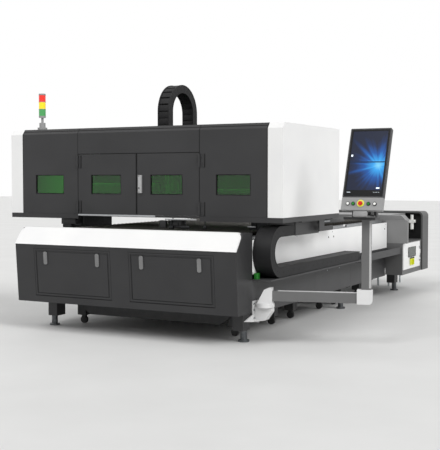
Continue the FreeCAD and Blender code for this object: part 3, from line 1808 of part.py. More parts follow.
cart_rim = bed_half - s("cart_rim_inset")
cart_floor = cart_rim - s("cart_flare")
cart_slope = s("cart_flare") / (s("cart_top") - s("cart_bottom"))
leg_half = s("leg_depth") / 2
cart_bay_front = s("foot_front") + leg_half + s("cart_front_clearance")
cart_bay_rear = s("foot_middle") - leg_half - s("cart_clearance")
cart_length = (cart_bay_rear - cart_bay_front - s("cart_gap")) / 2
cart_fronts = [
    cart_bay_front,
    cart_bay_rear - cart_length,
    s("foot_middle") + s("rear_cart_setback"),
]


def build_carts():
    middle = s("bed_middle")
    low = s("cart_bottom")
    high = s("cart_top")
    wall = s("cart_wall")
    outer = [
        (middle - cart_floor, low),
        (middle + cart_floor, low),
        (middle + cart_rim, high),
        (middle - cart_rim, high),
    ]
    inner = [
        (middle - cart_floor + wall, low + wall),
        (middle + cart_floor - wall, low + wall),
        (middle + cart_rim - wall, high + 1),
        (middle - cart_rim + wall, high + 1),
    ]
    for number, front in enumerate(cart_fronts, start=1):
        rear = front + cart_length
        tub = prism("XZ_Plane", outer, front, rear)
        tub = cut(tub, prism("XZ_Plane", inner, front + wall, rear - wall))
        casters = []
        for side in (1, -1):
            for y in (front + s("caster_setback"), rear - s("caster_setback")):
                casters += build_caster(side, y)
        finish(f"scrap_cart_{number}", grouped(tub, *casters))


def build_caster(side, y):
    """Wedge bracket under the tub's sloped end, fork and wheel."""
    radius = s("caster_radius")
    half = s("caster_width") / 2
    outer_half = half + s("fork_gauge")
    offset = cart_rim - s("caster_inset")
    x = s("bed_middle") + side * offset
    top = radius * 2 + s("caster_headroom")
    bracket = s("bracket_half")
    outline = []
    for reach in (offset - bracket, offset + bracket):
        outline.append((s("bed_middle") + side * reach, top))
    for reach in (offset + bracket, offset - bracket):
        height = s("cart_bottom") + (reach - cart_floor) / cart_slope
        outline.append((s("bed_middle") + side * reach, height))
    wedge = prism("XZ_Plane", outline, y - bracket, y + bracket)
    plate_half = s("fork_plate")
    plate_low = top - s("fork_plate_gauge")
    plate = block(x - plate_half, x + plate_half, y - outer_half, y + outer_half, plate_low, top)
    cheeks = []
    for inner, outer in ((half, outer_half), (-outer_half, -half)):
        cheek_x = (x - s("fork_half"), x + s("fork_half"))
        cheeks.append(block(*cheek_x, y + inner, y + outer, radius * 0.75, plate_low))
    wheel = drum(x, y - half, radius, radius, half * 2, "Y", 16)
    return [wedge, joined(plate, *cheeks), wheel]


# ---- build, check and write ----

build_bed()
build_feet()
build_side_panels()
build_skirts()
build_slat_frame()
build_slats()
build_rails()
build_cabinet()
build_cowl()
build_cabinet_doors()
build_hood_front()
build_hood_doors()
build_grip()
build_roof()
build_end_caps()
build_base_rail()
build_tower()
build_gantry()
build_end_carriages()
build_head()
build_side_chain()
build_arch_chain()
build_chain_tray()
build_chain_hanger()
build_rear_covers()
build_control_box()
build_rear_housing()
build_regulator()
build_arm_bracket()
build_arm()
build_yoke()
build_screen()
build_keys()
build_carts()
doc.recompute()

for thing in doc.Objects:
    state = set(thing.State)
    if state & {"Invalid", "Error"}:
        raise RuntimeError(f"{thing.Label} failed: {thing.State}")
for name, holder in nodes.items():
    if holder.Shape.isNull() or not holder.Shape.isValid():
        raise RuntimeError(f"{name} has no valid shape")

os.makedirs("parts", exist_ok=True)
for name, holder in nodes.items():
    holder.Shape.exportStep(f"parts/{name}.step")
print(len(nodes), "pieces written")
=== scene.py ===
import json
import math

import bmesh
import bpy
from mathutils import Matrix, Vector


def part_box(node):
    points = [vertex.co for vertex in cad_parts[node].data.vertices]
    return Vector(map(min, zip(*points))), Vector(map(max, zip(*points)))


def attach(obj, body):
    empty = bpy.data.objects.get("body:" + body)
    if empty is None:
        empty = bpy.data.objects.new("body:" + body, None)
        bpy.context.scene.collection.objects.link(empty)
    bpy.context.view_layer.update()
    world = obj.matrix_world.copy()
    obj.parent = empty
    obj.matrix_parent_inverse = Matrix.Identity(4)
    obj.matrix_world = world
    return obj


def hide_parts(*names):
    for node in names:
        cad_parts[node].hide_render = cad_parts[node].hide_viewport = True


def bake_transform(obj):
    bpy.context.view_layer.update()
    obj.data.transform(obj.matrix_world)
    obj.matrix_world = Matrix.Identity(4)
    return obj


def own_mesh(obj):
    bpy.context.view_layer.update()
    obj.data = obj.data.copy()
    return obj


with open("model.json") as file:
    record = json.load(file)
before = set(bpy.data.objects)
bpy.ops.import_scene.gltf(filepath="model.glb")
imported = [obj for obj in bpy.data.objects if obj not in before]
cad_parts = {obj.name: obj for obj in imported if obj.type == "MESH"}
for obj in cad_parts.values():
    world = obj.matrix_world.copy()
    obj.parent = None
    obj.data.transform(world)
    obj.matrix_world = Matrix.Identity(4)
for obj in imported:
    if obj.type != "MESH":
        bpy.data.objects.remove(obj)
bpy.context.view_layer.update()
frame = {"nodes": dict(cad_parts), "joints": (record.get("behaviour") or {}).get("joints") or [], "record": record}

nodes = frame["nodes"]
joints = {joint["name"]: joint for joint in frame["joints"]}
print("frame loaded:", len(nodes), "pieces")

# the hood's front face and middle are the places that the maker measures from
hoodLow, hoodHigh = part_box("hood_end_caps")
hoodMiddle = (hoodLow.x + hoodHigh.x) / 2
hoodFront = hoodLow.y
mm = 0.001


def at(x, y, z):
    # millimetres right of the hood's middle, behind its front and above the floor
    return Vector((hoodMiddle + x * mm, hoodFront + y * mm, z * mm))


def linear(hexColour):
    channels = [int(hexColour[i:i + 2], 16) / 255 for i in (1, 3, 5)]
    return (*[c / 12.92 if c <= 0.04045 else ((c + 0.055) / 1.055) ** 2.4 for c in channels], 1.0)


def setNode(node, settings):
    # a name or number of an input sets that input, and any other name is the node's own setting
    for name, value in settings.items():
        if isinstance(name, int) or name in node.inputs:
            node.inputs[name].default_value = value
        else:
            setattr(node, name, value)


def setStops(ramp, ends, between=None):
    # hex colours for a ramp's two ends, and for places between them
    elements = ramp.color_ramp.elements
    for element, colour in zip(elements, ends):
        element.color = linear(colour)
    for position, colour in (between or {}).items():
        elements.new(position).color = linear(colour)


def addNode(tree, kind, settings=None, links=None):
    node = tree.nodes.new(kind)
    setNode(node, settings or {})
    for name, source in (links or {}).items():
        tree.links.new(source, node.inputs[name])
    return node


def newFinish(name):
    material = bpy.data.materials.new(name)
    material.use_nodes = True
    tree = material.node_tree
    shader = tree.nodes["Principled BSDF"]
    place = addNode(tree, "ShaderNodeTexCoord").outputs["Object"]
    return material, tree, shader, place


def patternScale(millimetres):
    return 1000 / millimetres


def tintedNoise(tree, place, millimetres, stops, detail=3.0):
    # noise of a real size, coloured from the first hex value to the last
    grain = addNode(tree, "ShaderNodeTexNoise", {"Scale": patternScale(millimetres), "Detail": detail},
                    {"Vector": place})
    ramp = addNode(tree, "ShaderNodeValToRGB", links={"Fac": grain.outputs["Fac"]})
    ramp.color_ramp.elements[0].position = 0.3
    ramp.color_ramp.elements[1].position = 0.7
    setStops(ramp, stops)
    return ramp.outputs["Color"]


def spreadTo(tree, source, low, high):
    spread = addNode(tree, "ShaderNodeMapRange", {"To Min": low, "To Max": high}, {"Value": source})
    return spread.outputs["Result"]


def addRelief(tree, shader, height, strength, distance):
    bump = addNode(tree, "ShaderNodeBump", {"Strength": strength, "Distance": distance},
                   {"Height": height})
    tree.links.new(bump.outputs["Normal"], shader.inputs["Normal"])


def powderCoatedSteel(name, colours, roughness, gloss=0.5):
    # baked polyester powder: even colour, soft sheen and a fine orange peel, drawn at 9 mm to show
    material, tree, shader, place = newFinish(name)
    colour = tintedNoise(tree, place, 420, colours, 2.0)
    shader.inputs["Specular IOR Level"].default_value = gloss
    peel = addNode(tree, "ShaderNodeTexNoise", {"Scale": patternScale(9), "Detail": 2.0},
                   {"Vector": place})
    tree.links.new(colour, shader.inputs["Base Color"])
    tree.links.new(spreadTo(tree, peel.outputs["Fac"], roughness - 0.06, roughness + 0.06),
                   shader.inputs["Roughness"])
    shader.inputs["IOR"].default_value = 1.5
    addRelief(tree, shader, peel.outputs["Fac"], 0.12, 0.0006)
    return material


def groundSteel(name, colours, direction):
    # surface-ground rails: fine lines along the wheel's path, 3 mm apart to show
    material, tree, shader, place = newFinish(name)
    stretch = addNode(tree, "ShaderNodeMapping", {"Scale": direction}, {"Vector": place})
    lines = addNode(tree, "ShaderNodeTexNoise", {"Scale": patternScale(3), "Detail": 2.0},
                    {"Vector": stretch.outputs["Vector"]})
    ramp = addNode(tree, "ShaderNodeValToRGB", links={"Fac": lines.outputs["Fac"]})
    setStops(ramp, colours)
    tree.links.new(ramp.outputs["Color"], shader.inputs["Base Color"])
    shader.inputs["Metallic"].default_value = 1.0
    tree.links.new(spreadTo(tree, lines.outputs["Fac"], 0.24, 0.42), shader.inputs["Roughness"])
    addRelief(tree, shader, lines.outputs["Fac"], 0.1, 0.0004)
    return material


def smokedMildSteel():
    # hot-rolled slats: mill scale below, bright and heat-tinted where the beam has crossed the tips
    material, tree, shader, place = newFinish("smokedMildSteel")
    height = addNode(tree, "ShaderNodeSeparateXYZ", links={"Vector": place}).outputs["Z"]
    low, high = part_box("support_slats")
    blotch = addNode(tree, "ShaderNodeTexNoise", {"Scale": patternScale(60), "Detail": 5.0},
                     {"Vector": place})
    shifted = addNode(tree, "ShaderNodeMath", {"operation": "MULTIPLY_ADD", 1: 0.02},
                      {0: blotch.outputs["Fac"], 2: height})
    share = addNode(tree, "ShaderNodeMapRange", {"From Min": low.z + 0.06, "From Max": high.z + 0.01},
                    {"Value": shifted.outputs[0]})
    ramp = addNode(tree, "ShaderNodeValToRGB", links={"Fac": share.outputs["Result"]})
    setStops(ramp, ("#353433", "#86847f"), {0.55: "#4a4742"})
    tree.links.new(ramp.outputs["Color"], shader.inputs["Base Color"])
    shader.inputs["Metallic"].default_value = 0.6
    tree.links.new(spreadTo(tree, blotch.outputs["Fac"], 0.4, 0.62), shader.inputs["Roughness"])
    addRelief(tree, shader, blotch.outputs["Fac"], 0.2, 0.001)
    return material


def zincPlatedSteel(name, colours):
    # barrel-plated feet and brackets: cool grey with a cloudy bloom a few centimetres wide
    material, tree, shader, place = newFinish(name)
    tree.links.new(tintedNoise(tree, place, 35, colours, 4.0), shader.inputs["Base Color"])
    shader.inputs["Metallic"].default_value = 0.85
    bloom = addNode(tree, "ShaderNodeTexNoise", {"Scale": patternScale(18)}, {"Vector": place})
    tree.links.new(spreadTo(tree, bloom.outputs["Fac"], 0.3, 0.5), shader.inputs["Roughness"])
    return material


def spangledGalvanisedSheet():
    # hot-dip duct sheet: flat crystals about 25 mm across that each catch the light differently
    material, tree, shader, place = newFinish("spangledGalvanisedSheet")
    crystals = addNode(tree, "ShaderNodeTexVoronoi", {"Scale": patternScale(25)}, {"Vector": place})
    tone = addNode(tree, "ShaderNodeRGBToBW", links={"Color": crystals.outputs["Color"]})
    ramp = addNode(tree, "ShaderNodeValToRGB", links={"Fac": tone.outputs["Val"]})
    setStops(ramp, ("#8f9496", "#c3c8ca"))
    tree.links.new(ramp.outputs["Color"], shader.inputs["Base Color"])
    shader.inputs["Metallic"].default_value = 0.9
    tree.links.new(spreadTo(tree, tone.outputs["Val"], 0.28, 0.48), shader.inputs["Roughness"])
    return material


def mouldedPlastic(name, colours, roughness, grain, gloss=0.5):
    # injection-moulded nylon or ABS: slight mottling and a fine spark-eroded grain
    material, tree, shader, place = newFinish(name)
    tree.links.new(tintedNoise(tree, place, 120, colours), shader.inputs["Base Color"])
    texture = addNode(tree, "ShaderNodeTexNoise", {"Scale": patternScale(grain), "Detail": 1.0},
                      {"Vector": place})
    tree.links.new(spreadTo(tree, texture.outputs["Fac"], roughness - 0.05, roughness + 0.05),
                   shader.inputs["Roughness"])
    setNode(shader, {"IOR": 1.53, "Specular IOR Level": gloss})
    addRelief(tree, shader, texture.outputs["Fac"], 0.08, 0.0004)
    return material


def tintedAcrylic():
    # cast laser-safety acrylic: deep green, glossy, faintly wavy
    material, tree, shader, place = newFinish("tintedAcrylic")
    tree.links.new(tintedNoise(tree, place, 300, ("#2fae2c", "#37b634")), shader.inputs["Base Color"])
    setNode(shader, {"Roughness": 0.05, "IOR": 1.49, "Specular IOR Level": 0.14,
                     "Transmission Weight": 0.97})
    wave = addNode(tree, "ShaderNodeTexNoise", {"Scale": patternScale(140)}, {"Vector": place})
    addRelief(tree, shader, wave.outputs["Fac"], 0.05, 0.002)
    return material


def signalLens():
    # clear-over-colour polycarbonate rings: green below, amber, then red, with moulded ribs
    material, tree, shader, place = newFinish("signalLens")
    low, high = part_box("tower_lenses")
    height = addNode(tree, "ShaderNodeSeparateXYZ", links={"Vector": place}).outputs["Z"]
    share = addNode(tree, "ShaderNodeMapRange", {"From Min": low.z, "From Max": high.z},
                    {"Value": height})
    ramp = addNode(tree, "ShaderNodeValToRGB", links={"Fac": share.outputs["Result"]})
    ramp.color_ramp.interpolation = "CONSTANT"
    ramp.color_ramp.elements[1].position = 0.667
    setStops(ramp, ("#3f9450", "#e02718"), {0.333: "#f0d414"})
    tree.links.new(ramp.outputs["Color"], shader.inputs["Base Color"])
    tree.links.new(ramp.outputs["Color"], shader.inputs["Emission Color"])
    setNode(shader, {"Emission Strength": 0.25, "Roughness": 0.2, "IOR": 1.58})
    ribs = addNode(tree, "ShaderNodeTexWave", {"Scale": patternScale(10) / 6.283, "bands_direction": "Z"},
                   {"Vector": place})
    addRelief(tree, shader, ribs.outputs["Fac"], 0.3, 0.001)
    return material


burstHeart = Vector((115, 0, -30)) * mm  # from the glass's middle
burstReach = 0.3  # metres to the field's darkest navy


def litScreen():
    # backlit panel behind anti-glare glass: a navy field with a soft burst of light on the right
    material, tree, shader, place = newFinish("litScreen")
    low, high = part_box("monitor_glass")
    heart = (low + high) / 2 + burstHeart
    offset = addNode(tree, "ShaderNodeVectorMath", {"operation": "SUBTRACT", 1: heart}, {0: place})
    away = addNode(tree, "ShaderNodeVectorMath", {"operation": "LENGTH"}, {0: offset.outputs["Vector"]})
    parts = addNode(tree, "ShaderNodeSeparateXYZ", links={"Vector": offset.outputs["Vector"]})
    bearing = addNode(tree, "ShaderNodeMath", {"operation": "ARCTAN2"},
                      {0: parts.outputs["Z"], 1: parts.outputs["X"]})
    rays = addNode(tree, "ShaderNodeTexNoise", {"noise_dimensions": "1D", "Scale": 3.2, "Detail": 1.5},
                   {"W": bearing.outputs[0]})
    reach = addNode(tree, "ShaderNodeMapRange",
                    {"From Min": 0.3, "From Max": 0.7, "To Min": 1.35, "To Max": 0.75},
                    {"Value": rays.outputs["Fac"]})
    scaled = addNode(tree, "ShaderNodeMath", {"operation": "MULTIPLY"},
                     {0: away.outputs["Value"], 1: reach.outputs["Result"]})
    share = addNode(tree, "ShaderNodeMapRange", {"From Max": burstReach},
                    {"Value": scaled.outputs[0]})
    ramp = addNode(tree, "ShaderNodeValToRGB", links={"Fac": share.outputs["Result"]})
    setStops(ramp, ("#8fe2ff", "#161e36"), {0.18: "#35a6f2", 0.45: "#1858a8", 0.75: "#152c58"})
    tree.links.new(ramp.outputs["Color"], shader.inputs["Emission Color"])
    setNode(shader, {"Emission Strength": 1.0, "Base Color": linear("#07090d"),
                     "Specular IOR Level": 0.1, "Roughness": 0.25})
    return material


def screenInk(name, hexColour, glow):
    # a lit mark on the screen, with the faint grid of the panel's pixels
    material, tree, shader, place = newFinish(name)
    pixels = addNode(tree, "ShaderNodeTexNoise", {"Scale": patternScale(8)}, {"Vector": place})
    setNode(shader, {"Base Color": linear(hexColour), "Emission Color": linear(hexColour)})
    strength = spreadTo(tree, pixels.outputs["Fac"], glow * 0.85, glow)
    tree.links.new(strength, shader.inputs["Emission Strength"])
    setNode(shader, {"Specular IOR Level": 0.1, "Roughness": 0.3})
    return material


treadTop = 87 * mm  # just above the casters' wheels


def wornCartSteel():
    # painted tubs above, black rubber from the top of the wheels down
    material, tree, shader, place = newFinish("wornCartSteel")
    height = addNode(tree, "ShaderNodeSeparateXYZ", links={"Vector": place}).outputs["Z"]
    tread = addNode(tree, "ShaderNodeMapRange", {"From Min": treadTop - 0.5 * mm, "From Max": treadTop},
                    {"Value": height})
    paint = tintedNoise(tree, place, 90, ("#2e2f30", "#3a3a3a"), 6.0)
    rubber = tintedNoise(tree, place, 20, ("#1b1b1b", "#242424"))
    mix = addNode(tree, "ShaderNodeMix", {"data_type": "RGBA"})
    tree.links.new(tread.outputs["Result"], mix.inputs["Factor"])
    tree.links.new(rubber, mix.inputs[6])
    tree.links.new(paint, mix.inputs[7])
    tree.links.new(mix.outputs[2], shader.inputs["Base Color"])
    scuff = addNode(tree, "ShaderNodeTexNoise", {"Scale": patternScale(14), "Detail": 6.0},
                    {"Vector": place})
    tree.links.new(spreadTo(tree, scuff.outputs["Fac"], 0.45, 0.75), shader.inputs["Roughness"])
    addRelief(tree, shader, scuff.outputs["Fac"], 0.15, 0.0008)
    return material


finishes = {
    "charcoal_paint": powderCoatedSteel("charcoalPowderCoat", ("#2f2f30", "#343435"), 0.42, 0.3),
    "white_paint": powderCoatedSteel("whitePowderCoat", ("#e6e6e6", "#ebebea"), 0.4),
    "grey_paint": powderCoatedSteel("greyPowderCoat", ("#3c3c3d", "#434344"), 0.5, 0.3),
    "arm_paint": powderCoatedSteel("armGreyPaint", ("#5f5f5f", "#676767"), 0.4, 0.4),
    "panel_grey": powderCoatedSteel("satinPanelPaint", ("#848484", "#8c8c8c"), 0.38, 0.4),
    "machined_steel": groundSteel("groundSteel", ("#8d8f91", "#c2c4c6"), (1, 0.02, 1)),
    "raw_steel": smokedMildSteel(),
    "zinc_steel": zincPlatedSteel("zincPlatedSteel", ("#4a4c4e", "#66696b")),
    "galvanised_sheet": spangledGalvanisedSheet(),
    "chain_nylon": mouldedPlastic("chainNylon", ("#19191a", "#1f1f20"), 0.55, 6, 0.2),
    "laser_window": tintedAcrylic(),
    "signal_lens": signalLens(),
    "handle_grey": mouldedPlastic("handleAbs", ("#a4a4a4", "#adadad"), 0.4, 5),
    "screen_glass": litScreen(),
    "button_red": mouldedPlastic("stopRed", ("#c80f0a", "#d41c14"), 0.35, 4, 0.15),
    "button_green": mouldedPlastic("keyGreen", ("#176b1f", "#207a29"), 0.35, 4, 0.15),
    "button_white": mouldedPlastic("keyWhite", ("#dededa", "#e9e9e6"), 0.32, 4),
    "stop_rubber": mouldedPlastic("bufferUrethane", ("#1f7022", "#2a7e2a"), 0.5, 5, 0.3),
    "cart_sheet": wornCartSteel(),
    "black_plastic": mouldedPlastic("towerPlastic", ("#8f8f8f", "#9b9b9b"), 0.45, 4),
}
sealRubber = mouldedPlastic("sealRubber", ("#131313", "#1a1a1a"), 0.7, 5, 0.2)
bellowsCloth = mouldedPlastic("coatedBellowsCloth", ("#e2e2e0", "#eeeeec"), 0.6, 6)
# a pale paint for the strips that stand in for the highlight on the arm's rounded edges
highlightStripPaint = powderCoatedSteel("paintedHighlightStrip", ("#b4b4b4", "#bdbdbd"), 0.35, 0.4)
screwZinc = zincPlatedSteel("zincPlatedScrews", ("#85888a", "#a4a8aa"))
signalYellow = mouldedPlastic("signalYellow", ("#dfe023", "#e9e334"), 0.4, 5)
limeYellow = mouldedPlastic("switchPlateYellow", ("#cfd41c", "#dbe02c"), 0.4, 5)
castWhite = powderCoatedSteel("sandCastAluminiumPaint", ("#c9c9c9", "#dadada"), 0.5, 0.4)
# a lighter copy of the white paint for the side panels, with light painted in
litSideWhite = powderCoatedSteel("litSideWhitePowderCoat", ("#f3f3f3", "#f8f8f7"), 0.4)
# a lighter copy of the grey paint for the rear covers, with light painted in where they stand in shade
deckLitGrey = powderCoatedSteel("deckLitGreyPaint", ("#7c7c7c", "#848484"), 0.45, 0.4)
# a lighter copy of the grey paint for the control box, with light painted in where it stands in shade
controlBoxLitGrey = powderCoatedSteel("controlBoxLitGreyPaint", ("#5c5c5c", "#646464"), 0.45, 0.3)
# a darker copy of the arm's grey for the rear housing, with its shade painted in
housingShadedGrey = powderCoatedSteel("housingShadedGreyPaint", ("#4b4b4b", "#535353"), 0.45, 0.3)
phosphatedSteel = zincPlatedSteel("phosphatedSteel", ("#2b2c2d", "#3a3b3c"))
latchGrey = mouldedPlastic("latchPolyamide", ("#6f6f6f", "#787878"), 0.45, 5)
ownFinish = {
    "end_carriages": phosphatedSteel,
    "side_panels": litSideWhite,
    "rear_covers": deckLitGrey,
    "control_box": controlBoxLitGrey,
    "rear_housing": housingShadedGrey,
    "arm_bracket": castWhite,
    "arm_castings": castWhite,
    "main_switch": limeYellow,
    "left_latch_1": latchGrey,
    "left_latch_2": latchGrey,
    "right_latch_1": latchGrey,
    "right_latch_2": latchGrey,
}
for part in frame["record"]["subparts"]:
    slots = nodes[part["node"]].data.materials
    slots.clear()
    slots.append(ownFinish.get(part["node"], finishes[part["material_slot"]]))
print("finishes on", len(nodes), "pieces")

sharpAngle = math.radians(32)
bevelRounds = {"segments": 2, "profile": 0.6}


def addBlock(mesh, low, high, rounding=0.0):
    made = bmesh.ops.create_cube(mesh, size=1.0)["verts"]
    bmesh.ops.scale(mesh, vec=high - low, verts=made)
    bmesh.ops.translate(mesh, vec=(low + high) / 2, verts=made)
    if rounding:
        edges = {edge for vert in made for edge in vert.link_edges}
        bmesh.ops.bevel(mesh, geom=list(edges), offset=rounding, affect="EDGES", **bevelRounds)


axisTurns = {
    "x": Matrix.Rotation(math.radians(90), 4, "Y"),
    "y": Matrix.Rotation(math.radians(-90), 4, "X"),
}


# a rod in a dictionary holds its radius, length, axis, sides and, where it tapers, top radius
def addRod(mesh, centre, radius, length, axis, sides=24, topRadius=None):
    made = bmesh.ops.create_cone(mesh, segments=sides, radius1=radius, cap_ends=True,
                                 radius2=radius if topRadius is None else topRadius,
                                 depth=length)["verts"]
    bmesh.ops.transform(mesh, matrix=axisTurns[axis], verts=made)
    bmesh.ops.translate(mesh, vec=centre, verts=made)


def tilted(degrees, origin):
    # a plane that leans back (or forward, where negative) about the X axis, standing on origin
    return Matrix.Translation(origin) @ Matrix.Rotation(math.radians(degrees), 4, "X")


def slab(mesh, xs, ys, zs, rounding=0.0):
    # a block between machine places in millimetres
    addBlock(mesh, at(xs[0], ys[0], zs[0]), at(xs[1], ys[1], zs[1]), rounding * mm)


def localSlab(mesh, xs, ys, zs, rounding=0.0):
    # a block between places in millimetres, for a mesh that is turned and moved afterwards
    addBlock(mesh, Vector((xs[0], ys[0], zs[0])) * mm, Vector((xs[1], ys[1], zs[1])) * mm,
             rounding * mm)


def crossSlab(mesh, ys, xs, zs, rounding=0.0):
    # a slab with X and Y changed over, for a surround on a face that looks along X
    slab(mesh, xs, ys, zs, rounding)


def blocks(rows, build=slab):
    # a new mesh of blocks, one for each row of xs, ys, zs and rounding
    mesh = bmesh.new()
    for row in rows:
        build(mesh, *row)
    return mesh


def addSurround(mesh, xs, ys, zs, width, rounding=0.0, build=slab):
    # four strips round an opening, their outer edges on it
    build(mesh, (xs[0], xs[0] + width), ys, zs, rounding)
    build(mesh, (xs[1] - width, xs[1]), ys, zs, rounding)
    build(mesh, (xs[0] + width, xs[1] - width), ys, (zs[0], zs[0] + width), rounding)
    build(mesh, (xs[0] + width, xs[1] - width), ys, (zs[1] - width, zs[1]), rounding)


def addTurned(mesh, part, turn):
    # joins a finished part to the mesh, turned and moved by a matrix
    bmesh.ops.transform(part, matrix=turn, verts=part.verts)
    data = bpy.data.meshes.new("part")
    part.to_mesh(data)
    part.free()
    mesh.from_mesh(data)
    bpy.data.meshes.remove(data)


def addTilted(mesh, turn, *rows):
    # blocks drawn about the origin, then turned and moved
    addTurned(mesh, blocks(rows, localSlab), turn)


def addCollar(mesh, turn, inner, outer, depth, sides=40, square=False):
    # a ring about its own Z axis, or a square plate with a round hole
    rings = []
    for i in range(sides):
        angle = 2 * math.pi * i / sides
        way = Vector((math.cos(angle), math.sin(angle), 0))
        reach = outer / max(abs(way.x), abs(way.y)) if square else outer
        rings.append([mesh.verts.new(turn @ (way * r + Vector((0, 0, z))))
                      for r, z in ((inner, 0), (reach, 0), (reach, depth), (inner, depth))])
    for i, ring in enumerate(rings):
        following = rings[(i + 1) % sides]
        for k in range(4):
            mesh.faces.new((ring[k], ring[(k + 1) % 4], following[(k + 1) % 4], following[k]))


def addSwept(mesh, rings):
    # skins a row of four-cornered sections and closes both ends
    for ring, following in zip(rings, rings[1:]):
        for k in range(4):
            mesh.faces.new((ring[k], ring[(k + 1) % 4], following[(k + 1) % 4], following[k]))
    mesh.faces.new(rings[0])
    mesh.faces.new(list(reversed(rings[-1])))


def makePiece(name, mesh, slotName, body, finish=None):
    # turns the mesh into a named piece with its finish, or its slot's finish where none is given, and its body
    bmesh.ops.recalc_face_normals(mesh, faces=mesh.faces)
    data = bpy.data.meshes.new(name)
    mesh.to_mesh(data)
    mesh.free()
    data.polygons.foreach_set("use_smooth", [True] * len(data.polygons))
    data.set_sharp_from_angle(angle=sharpAngle)
    data.materials.append(finish or finishes[slotName])
    piece = bpy.data.objects.new(name, data)
    bpy.context.scene.collection.objects.link(piece)
    if body:
        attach(piece, body)
    return piece


chainLook = {
    "plate": 13 * mm,
    "lidOverlap": 0.7,  # share of the side plate that the lids cover
    "lidSink": 2.5 * mm,
    "lidGauge": 5 * mm,
    "lidBlock": 7.5 * mm,
    "lidRound": 2 * mm,
    "coreSink": 10 * mm,
    "rib": 9 * mm,
    "ribProud": 2 * mm,
    "pinRadius": 15 * mm,
    "pinSides": 14,
    "sidePitch": 66 * mm,
    "bendSteps": 48,
    "archPitch": 70 * mm,
    "archGap": 8 * mm,
    "archGauge": 90 * mm,
    "archSteps": 4,  # steps along the crown for each link
}


def straightPoints(start, end, count):
    return [start.lerp(end, i / count) for i in range(count + 1)]


def arcPoints(centre, radius, first, last, count):
    points = []
    for i in range(count + 1):
        angle = math.radians(first + (last - first) * i / count)
        points.append(centre + Vector((0, math.cos(angle), math.sin(angle))) * radius)
    return points


def addRibbon(mesh, points, xLow, xHigh, inner, outer):
    # a strip swept along the chain's middle line, from inner to outer above that line
    rings = []
    for i, point in enumerate(points):
        along = (points[min(i + 1, len(points) - 1)] - points[max(i - 1, 0)]).normalized()
        up = Vector((1, 0, 0)).cross(along)
        rings.append([mesh.verts.new(point + up * rise + Vector((x, 0, 0)))
                      for x, rise in ((xLow, inner), (xHigh, inner), (xHigh, outer), (xLow, outer))])
    addSwept(mesh, rings)


def addAlong(mesh, part, start, end):
    # lays a part that was drawn along +Y from the origin between two points
    along = (end - start).normalized()
    up = Vector((1, 0, 0)).cross(along)
    turn = Matrix((Vector((1, 0, 0)), along, up)).transposed().to_4x4()
    turn.translation = start
    addTurned(mesh, part, turn)


def addChain(mesh, plateLine, linkLine, middle, width, height, gap=None):
    # ribbed side plates, pins, a core, and lids: closed, or one to a link where there is a gap
    look = chainLook
    half = width / 2
    top = height / 2 - look["lidSink"]
    plateInner = half - look["plate"]
    inner = half - look["plate"] * look["lidOverlap"]
    ribEdge = height / 2 - look["rib"]
    shift = Vector((middle, 0, 0))
    line = [point + shift for point in plateLine]
    for side in (-1, 1):
        flat = sorted((side * (half - look["ribProud"]), side * plateInner))
        ribbed = sorted((side * half, side * plateInner))
        addRibbon(mesh, line, *flat, -ribEdge, ribEdge)
        addRibbon(mesh, line, *ribbed, -height / 2, -ribEdge)
        addRibbon(mesh, line, *ribbed, ribEdge, height / 2)
        if gap is None:
            addRibbon(mesh, line, -inner, inner, *sorted((side * top, side * (top - look["lidGauge"]))))
    if gap is None:
        linkLine = linkLine[::2]
    core = height / 2 - look["coreSink"]
    for start, end in zip(linkLine, linkLine[1:]):
        length = (end - start).length
        link = bmesh.new()
        for side in (-1, 1):
            if gap is not None:
                z = sorted((side * top, side * (top - look["lidBlock"])))
                addBlock(link, Vector((-inner, gap / 2, z[0])),
                         Vector((inner, length - gap / 2, z[1])), look["lidRound"])
            addRod(link, Vector((side * (half - look["ribProud"]), length / 2, 0)),
                   look["pinRadius"], look["ribProud"], "x", look["pinSides"])
        addBlock(link, Vector((-inner, 0, -core)), Vector((inner, length, core)))
        addAlong(mesh, link, start + shift, end + shift)


def sideChain():
    lowerLow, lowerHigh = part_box("chain_lower_run")
    upperLow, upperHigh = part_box("chain_upper_run")
    middle = (lowerLow.x + lowerHigh.x) / 2
    width = lowerHigh.x - lowerLow.x
    height = lowerHigh.z - lowerLow.z
    lowZ = (lowerLow.z + lowerHigh.z) / 2
    highZ = (upperLow.z + upperHigh.z) / 2
    radius = (highZ - lowZ) / 2
    pitch = chainLook["sidePitch"]

    lower = bmesh.new()
    length = lowerHigh.y - lowerLow.y
    line = straightPoints(Vector((0, lowerLow.y, lowZ)), Vector((0, lowerHigh.y, lowZ)),
                          round(length / pitch))
    addChain(lower, line, line, middle, width, height)
    lowerRun = makePiece("chainLowerRun", lower, "chain_nylon", "base")
    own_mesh(lowerRun)
    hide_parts("chain_lower_run")

    upper = bmesh.new()
    count = round((upperHigh.y - upperLow.y) / pitch)
    line = straightPoints(Vector((0, upperLow.y, highZ)), Vector((0, upperHigh.y, highZ)), count)
    addChain(upper, line, line, middle, width, height)
    upperRun = makePiece("chainUpperRun", upper, "chain_nylon", None)
    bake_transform(upperRun)
    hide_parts("chain_upper_run")

    bend = bmesh.new()
    centre = Vector((0, lowerLow.y, (lowZ + highZ) / 2))
    smooth = arcPoints(centre, radius, 90, 270, chainLook["bendSteps"])
    addChain(bend, smooth, smooth[::2], middle, width, height)
    turn = makePiece("chainTurn", bend, "chain_nylon", "chain_turn")
    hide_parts("chain_bend")


